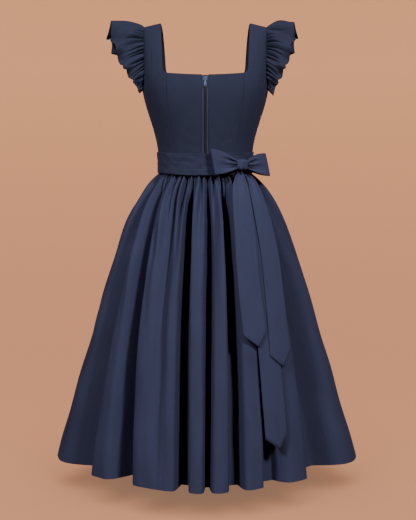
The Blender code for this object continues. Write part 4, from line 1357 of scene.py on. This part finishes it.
def skirt_columns(first, last):
    """Positions of a panel's columns, close together at the bottom of each gather and at the side seams."""
    within = np.array([0.0, 0.07, 0.16, 0.28, 0.42, 0.58, 0.72, 0.84, 0.93])
    lines = np.array([g.position for g in GATHERS] + [g.position + len(VALLEYS) for g in GATHERS])
    columns = (lines[:-1, None] + np.diff(lines)[:, None] * within).ravel()
    seam = np.array([0.0, 0.004, 0.009, 0.016, 0.026])
    inside = columns[(columns > first + 0.032) & (columns < last - 0.032)]
    return np.concatenate([first + seam, inside, last - seam[::-1]])


def skirt_panel(first, last, sizes):
    """A panel between the side seams. Its rows run from the turned edge of the hem round and up."""
    position = skirt_columns(first, last)[None, :]
    drops = skirt_drops(sizes)[::-1]
    outer = skirt_points(position, drops[:, None], sizes)
    stitched = np.abs(drops - (SKIRT_LENGTH - sizes.hem_turning)) < 0.0005
    outer[stitched] -= grid_normals(outer)[stitched] * STITCH_DIMPLE
    inner_drops = SKIRT_LENGTH - np.array([sizes.hem_turning, *HEM_INSIDE_UP])
    inner = skirt_points(position, inner_drops[:, None], sizes)
    inner += grid_normals(inner) * np.array(HEM_INSIDE)[:, None, None]
    points = np.concatenate([inner, outer])
    return with_rolled_edges(points, left=SKIRT_ROLL, right=SKIRT_ROLL), len(inner)


class DIRNDL_OT_skirt(bpy.types.Operator):
    """Gather the skirt's front and back to the waist, and turn up the hem"""

    bl_idname = "dirndl.skirt"
    bl_label = "Skirt"

    def execute(self, context):
        sizes = context.scene.dirndl_sizes
        material = weave(context, "skirt")
        first, last = SIDE_FOLDS
        runs = []
        for name, start, end in (("skirt_front", first, last), ("skirt_back", last, first + len(VALLEYS))):
            points, turned = skirt_panel(start, end, sizes)
            piece = cloth_piece(
                name, points, material, sizes.cotton_thickness * SKIRT_CLOTH_SHARE,
                width_row=turned + HEM_WIDTH_ROW, length_part=3,
            )
            runs.append(row_path(points, turned + HEM_STITCH_ROW))
        stitching(context, "hem_stitching", runs, HEM_STITCH)
        return {"FINISHED"}


# ---------- sash

# Painted shade: the band is the same cotton as the bow and the ends, drawn darker by this share.
BAND_PAINTED_SHADE = 0.73  # how dark the band is against the bow and the ends
KNOT_CLOTH = 0.0010
KNOT_GROOVE = 0.26  # a groove's depth, as a share of the knot
KNOT_AT_DEG = 48
KNOT_PULL_DEG = 16.0  # how far round the knot's pull on the band reaches
KNOT_PULL = 0.0012
BAND_CREASE = 0.0007
BAND_ROLL = 0.0012
TAIL_ROLL = 0.0010
LOOP_ROLL = 0.0009
TAIL_PLEAT_HEIGHT = 0.0024
TAIL_PLEAT_REACH = 0.045
TAIL_CUP_HEIGHT = 0.0011
LOOP_PLEATS = ((0.0034, 2.4, 0.1), (0.0018, 4.1, 0.0))  # height, how many across, and start
LOOP_HOLLOW = 0.0035
LOOP_CROWN = 0.0022


def drape_point(x, z, outwards):
    """Points before the skirt's crest line, a distance outwards from it, measured square to its slope."""
    drop = np.maximum(0.0, WAIST_Z - z)
    turn = np.arcsin(np.minimum(1.0, x / flared(SKIRT_WIDTH, drop)) ** (skirt_squareness(drop) / 2))
    drop = np.maximum(0.0, drop + hem_rise(turn, drop) - skirt_dip(np.cos(turn), drop))
    power = skirt_squareness(drop)
    below = below_collar(drop)
    steepness = SKIRT_WIDTH.slope + SKIRT_WIDTH.puff / PUFF_DROP * np.exp(-below / PUFF_DROP)
    level = outwards * np.hypot(1, np.where(below > 0, steepness, steepness / 2))
    share = np.minimum(1.0, x / (flared(SKIRT_WIDTH, drop) + level))
    y = -(flared(SKIRT_FRONT, drop) + level) * (1 - share**power) ** (1 / power)
    return stacked(x, y, z)


def tip_drop(share):
    """How far a tail's end runs on below its last row: a slant to a point that is nearer the outer edge."""
    point_at = 2 / 3
    slant = blend(TAIL_SHORTER, TAIL_POINT, share / point_at)
    return np.where(share <= point_at, slant, TAIL_POINT * (1 - (share - point_at) / (1 - point_at)))


def tail(table, layer, seed):
    """A sash end from the knot down to its slanted point, lying along the skirt under it."""
    rising = table[::-1]
    share = fine_ends(20, (0.0, 0.012, 0.030, 0.045, 0.075))[None, :]
    down = np.concatenate([np.linspace(0, 0.16, 26), np.linspace(0.16, 1, 60)[1:]])[:, None]
    length = table[0].z - table[-1].z
    z_row = table[0].z - length * down
    z = z_row - tip_drop(share) * np.clip((down - 0.5) / 0.5, 0, 1)
    x = along_table(rising, "x", "z", z_row)
    width = along_table(rising, "width", "z", z_row)
    outwards = layer + SASH_CLOTH
    step = 0.002
    ahead = drape_point(x + step, z_row, outwards) - drape_point(x, z_row, outwards)
    across = unit(ahead)[..., 0]
    gathered = fading(down * length, TAIL_PLEAT_REACH, 1.5)
    pleats = TAIL_PLEAT_HEIGHT * gathered * np.sin(2 * np.pi * (1.6 * share + 0.15 + 0.05 * seed))
    cup = TAIL_CUP_HEIGHT * np.sin(np.pi * share) * np.sin(7.0 * down + seed)
    lift = np.maximum(pleats, -0.0008) + np.maximum(cup, -0.0005)
    points = drape_point(x + across * width * (share - 0.5), z, outwards + lift)
    return with_rolled_edges(points[::-1], left=TAIL_ROLL, right=TAIL_ROLL, bottom=TAIL_ROLL)


def bow_loop(loop):
    """A loop of the bow: out along its front, round its fold and back, pinched into pleats at the knot."""
    turn = math.radians(KNOT_TURN_DEG)
    side = 1 if loop.top.x > KNOT_CENTRE.x else -1
    knot_axis = Vector((math.cos(turn), math.sin(turn), 0)) * side
    start = np.array(KNOT_CENTRE + knot_axis * (KNOT_SIZE.x / 2 - 0.003))
    along = (loop.top + loop.bottom) / 2 - Vector(start)
    front = np.array(Vector((along.y, -along.x, 0)).normalized() * side)
    up = fine_ends(26, (0.0, 0.010, 0.025, 0.045, 0.075))[:, None]
    round_it = (np.pi * np.linspace(0, 1, 73))[None, :]
    tip = blend(np.array(loop.bottom), np.array(loop.top), up[..., None])
    root = start + UPWARDS * (LOOP_PINCH * (up - 0.5))[..., None]
    out = np.sin(round_it) ** 0.8
    points = blend(root, tip, out[..., None])
    points[..., 2] = blend(root[..., 2], tip[..., 2], 1 - (1 - out) ** 2)
    bulge = loop.fullness * np.cos(round_it) * (0.30 + np.sin(round_it))
    near = fading(out, 0.42)
    pleats = sum(high * near * np.sin(2 * np.pi * (many * up + start)) for high, many, start in LOOP_PLEATS)
    hollow = -LOOP_HOLLOW * fading(out - 0.55, 0.28) * fading(up - 0.36, 0.20)
    crown = LOOP_CROWN * np.sin(np.pi * up) * out
    facing = signed_power(np.cos(round_it), 0.4)
    points = points + front * (bulge + (pleats + hollow + crown) * facing)[..., None]
    if side < 0:
        points = points[:, ::-1]
    return with_rolled_edges(points, bottom=LOOP_ROLL, top=LOOP_ROLL)


def sash_knot(material):
    """The tied knot: a soft barrel with the turns of the ribbon drawn in round it."""
    turns, heights = np.mgrid[0:49, 0:33]
    azimuth = 2 * np.pi * turns / 48
    polar = np.pi * (heights / 32 - 0.5)
    ball = stacked(np.cos(polar) * np.cos(azimuth), np.cos(polar) * np.sin(azimuth), np.sin(polar))
    shape = signed_power(ball, 0.72)
    x, z = shape[..., 0], shape[..., 2]
    grooves = KNOT_GROOVE * fading(x + 0.02 + 0.16 * z, 0.12)
    for place, slant in ((-0.50, -0.10), (0.46, 0.12)):
        away, above = (x - place + slant * z) / 0.09, (z - 0.25) / 0.60
        grooves += KNOT_GROOVE * np.exp(-(away**2) - above**2)
    waist = 0.10 * fading(z, 0.5)
    shape = shape * (1.06 - grooves - waist * np.abs(x) ** 3)[..., None] * np.array(KNOT_SIZE / 2)
    turn = math.radians(KNOT_TURN_DEG)
    cosine, sine = math.cos(turn), math.sin(turn)
    x, y, z = np.moveaxis(shape, -1, 0)
    rotated = stacked(x * cosine - y * sine, x * sine + y * cosine, z)
    points = (rotated + np.array(KNOT_CENTRE)).transpose(1, 0, 2)[:, :-1]
    return cloth_piece("sash_knot", points, material, KNOT_CLOTH, wrap=True, width_row=16)


class DIRNDL_OT_sash(bpy.types.Operator):
    """Wrap the sash round the waist and tie its bow, with three ends hanging"""

    bl_idname = "dirndl.sash"
    bl_label = "Sash and bow"

    def execute(self, context):
        sizes = context.scene.dirndl_sizes
        material = weave(context, "sash")
        heights = blend(SASH_BOTTOM_Z, SASH_TOP_Z, fine_ends(14, (0.0, 0.012, 0.028, 0.050, 0.080)))
        turn = np.linspace(0, 360, 241)[None, :-1]
        z = heights[:, None]
        drawn = BAND_CREASE * soft_noise(turn / 11.0, z * 150.0, SEED + 5)
        near_knot = fading((turn - KNOT_AT_DEG + 180) % 360 - 180, KNOT_PULL_DEG)
        drawn = drawn - near_knot * KNOT_PULL * np.abs(np.sin(z * 420.0))
        points = body_point(z - YOKE_Z, turn, SASH_GAP + SASH_CLOTH + np.clip(drawn, -0.0009, 0.0012))
        edge = np.minimum(z - SASH_BOTTOM_Z, SASH_TOP_Z - z)
        points = points - grid_normals(points, wrap=True) * roll_in(edge, BAND_ROLL)[..., None]
        # The band's cotton in the sash's colour, darkened as painted shade.
        shade = shaded(context.scene.dirndl_looks.sash, BAND_PAINTED_SHADE)
        band_material = cotton("sash_band_weave", shade, sizes.weave_pitch)
        band = cloth_piece(
            "sash_band", points, band_material, sizes.sash_thickness, wrap=True
        )
        closed = np.concatenate([points, points[:, :1]], axis=1)
        runs = [row_path(closed, row) for row in STITCH_ROWS]

        for name, table, layer, seed in (
            ("sash_tail_front", TAIL_FRONT, LAYER_FRONT, 0),
            ("sash_tail_side", TAIL_SIDE, LAYER_SIDE, 1),
            ("sash_tail_long", TAIL_LONG, LAYER_LONG, 2),
        ):
            points = tail(table, layer, seed)
            piece = cloth_piece(name, points, material, sizes.sash_thickness)
            runs += [column_path(points, column) for column in STITCH_ROWS]
            runs.append(row_path(points, STITCH_ROWS[0]))

        for name, loop in (("bow_loop_inner", LOOP_INNER), ("bow_loop_outer", LOOP_OUTER)):
            points = bow_loop(loop)
            middle = len(points) // 2
            piece = cloth_piece(
                name, points, material, sizes.sash_thickness, width_row=middle
            )
            runs += [row_path(points, row) for row in STITCH_ROWS]
        knot = sash_knot(material)
        stitching(context, "sash_stitching", runs, FINE_STITCH)
        return {"FINISHED"}


# ---------- zip

TAPE_SHARE = 0.8  # how thick the tape is drawn against the solid's
SLIDER_FOOT = 0.30  # how far the teeth stop below the slider's place, as a share of its length
BEAD_HEIGHT = 0.0004  # the bead beside the chain: how high, how far from the tape's edge and how wide
BEAD_AT = 0.0008
BEAD_WIDTH = 0.0006
TOOTH_PITCH = 0.0021
TOOTH_SIZE = (0.0033, 0.0022, 0.0013)
TOOTH_X = 0.0011
TOOTH_BEVEL = 0.00022
TOOTH_HOOK = (0.80, 0.62)  # how deep and how high a tooth's hooked end is, as a share of its foot


def zip_place(z, x, inwards):
    """Points behind the centre front's outer face, at a distance inwards from it."""
    level = z - YOKE_Z
    return body_point(level, np.copysign(turn_at(level, x), x), -inwards)


def zip_tape(side):
    inwards = CLOTH + HIDDEN_GAP
    z = np.linspace(ZIP_BOTTOM_Z, ZIP_TOP_Z, 60)[:, None]
    inner_x = ZIP_CHAIN_WIDTH / 2 + SEAM_HALF_GAP
    x = inner_x + ZIP_TAPE_WIDTH * np.linspace(0, 1, 10)[None, :]
    bead = BEAD_HEIGHT * fading(x - inner_x - BEAD_AT, BEAD_WIDTH)
    points = zip_place(z, x, inwards - bead)
    return points if side == "left" else mirrored(points)


def zip_teeth(material):
    """The closed chain: two rows of teeth that mesh from side to side."""
    shape = bmesh.new()
    inwards = CLOTH + HIDDEN_GAP + (ZIP_TAPE - ZIP_CHAIN_THICK) / 2
    top = SLIDER_Z - SLIDER_LENGTH * SLIDER_FOOT
    for i in range(int((top - ZIP_BOTTOM_Z) / TOOTH_PITCH * 2)):
        side = 1 if i % 2 else -1
        z = ZIP_BOTTOM_Z + TOOTH_PITCH / 2 * (i + 1)
        place = zip_place(np.array(z), np.array(side * TOOTH_X), inwards + ZIP_CHAIN_THICK * 0.5)
        tooth = bmesh.ops.create_cube(shape, size=1.0)["verts"]
        bmesh.ops.scale(shape, vec=TOOTH_SIZE, verts=tooth)
        for corner in tooth:
            if corner.co.x * side < 0:
                corner.co.y *= TOOTH_HOOK[0]
                corner.co.z *= TOOTH_HOOK[1]
        bmesh.ops.translate(shape, vec=Vector(place), verts=tooth)
    bmesh.ops.bevel(shape, geom=shape.edges[:], offset=TOOTH_BEVEL, segments=1, affect="EDGES")
    piece = linked("zip_teeth", mesh_of("zip_chain", shape), material)
    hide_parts("zip_chain")
    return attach(piece, BODY)


class DIRNDL_OT_zip(bpy.types.Operator):
    """Set the zip: its tape, its teeth, and the finish of its slider and pull"""

    bl_idname = "dirndl.zip"
    bl_label = "Zip"

    def execute(self, context):
        looks = context.scene.dirndl_looks
        tape = tape_finish("ribbed_tape", looks.tape)
        for side in ("left", "right"):
            piece = cloth_piece(f"zip_tape_{side}", zip_tape(side), tape, ZIP_TAPE * TAPE_SHARE)
        zip_teeth(metal_finish("teeth_metal", looks.teeth, glint=0.12, metallic=0.2))
        metal = metal_finish("slider_metal", looks.metal, glint=0.03)
        for name in ("zip_slider", "zip_pull"):
            node = frame["nodes"][name]
            node.data.materials.clear()
            node.data.materials.append(metal)
        return {"FINISHED"}


# ---------- panel and running


class DIRNDL_PT_panel(bpy.types.Panel):
    """Lists the dirndl's sizes, colours and pieces"""

    bl_idname = "DIRNDL_PT_panel"
    bl_label = "Dirndl"
    bl_space_type = "VIEW_3D"
    bl_region_type = "UI"
    bl_category = "Dirndl"

    def draw(self, context):
        for group in (context.scene.dirndl_sizes, context.scene.dirndl_looks):
            box = self.layout.box()
            for name in group.__annotations__:
                box.prop(group, name)
        for operator in OPERATORS:
            self.layout.operator(operator.bl_idname)


GROUPS = (DirndlSizes, DirndlLooks)
OPERATORS = (
    DIRNDL_OT_stage,
    DIRNDL_OT_bodice,
    DIRNDL_OT_ruffles,
    DIRNDL_OT_skirt,
    DIRNDL_OT_sash,
    DIRNDL_OT_zip,
)


def register():
    for part in (*GROUPS, *OPERATORS, DIRNDL_PT_panel):
        bpy.utils.register_class(part)
    bpy.types.Scene.dirndl_sizes = PointerProperty(type=DirndlSizes)
    bpy.types.Scene.dirndl_looks = PointerProperty(type=DirndlLooks)


def unregister():
    del bpy.types.Scene.dirndl_looks
    del bpy.types.Scene.dirndl_sizes
    for part in reversed((*GROUPS, *OPERATORS, DIRNDL_PT_panel)):
        bpy.utils.unregister_class(part)


def main():
    register()
    for operator in OPERATORS:
        area, action = operator.bl_idname.split(".")
        getattr(getattr(bpy.ops, area), action)()


if __name__ == "__main__":
    main()
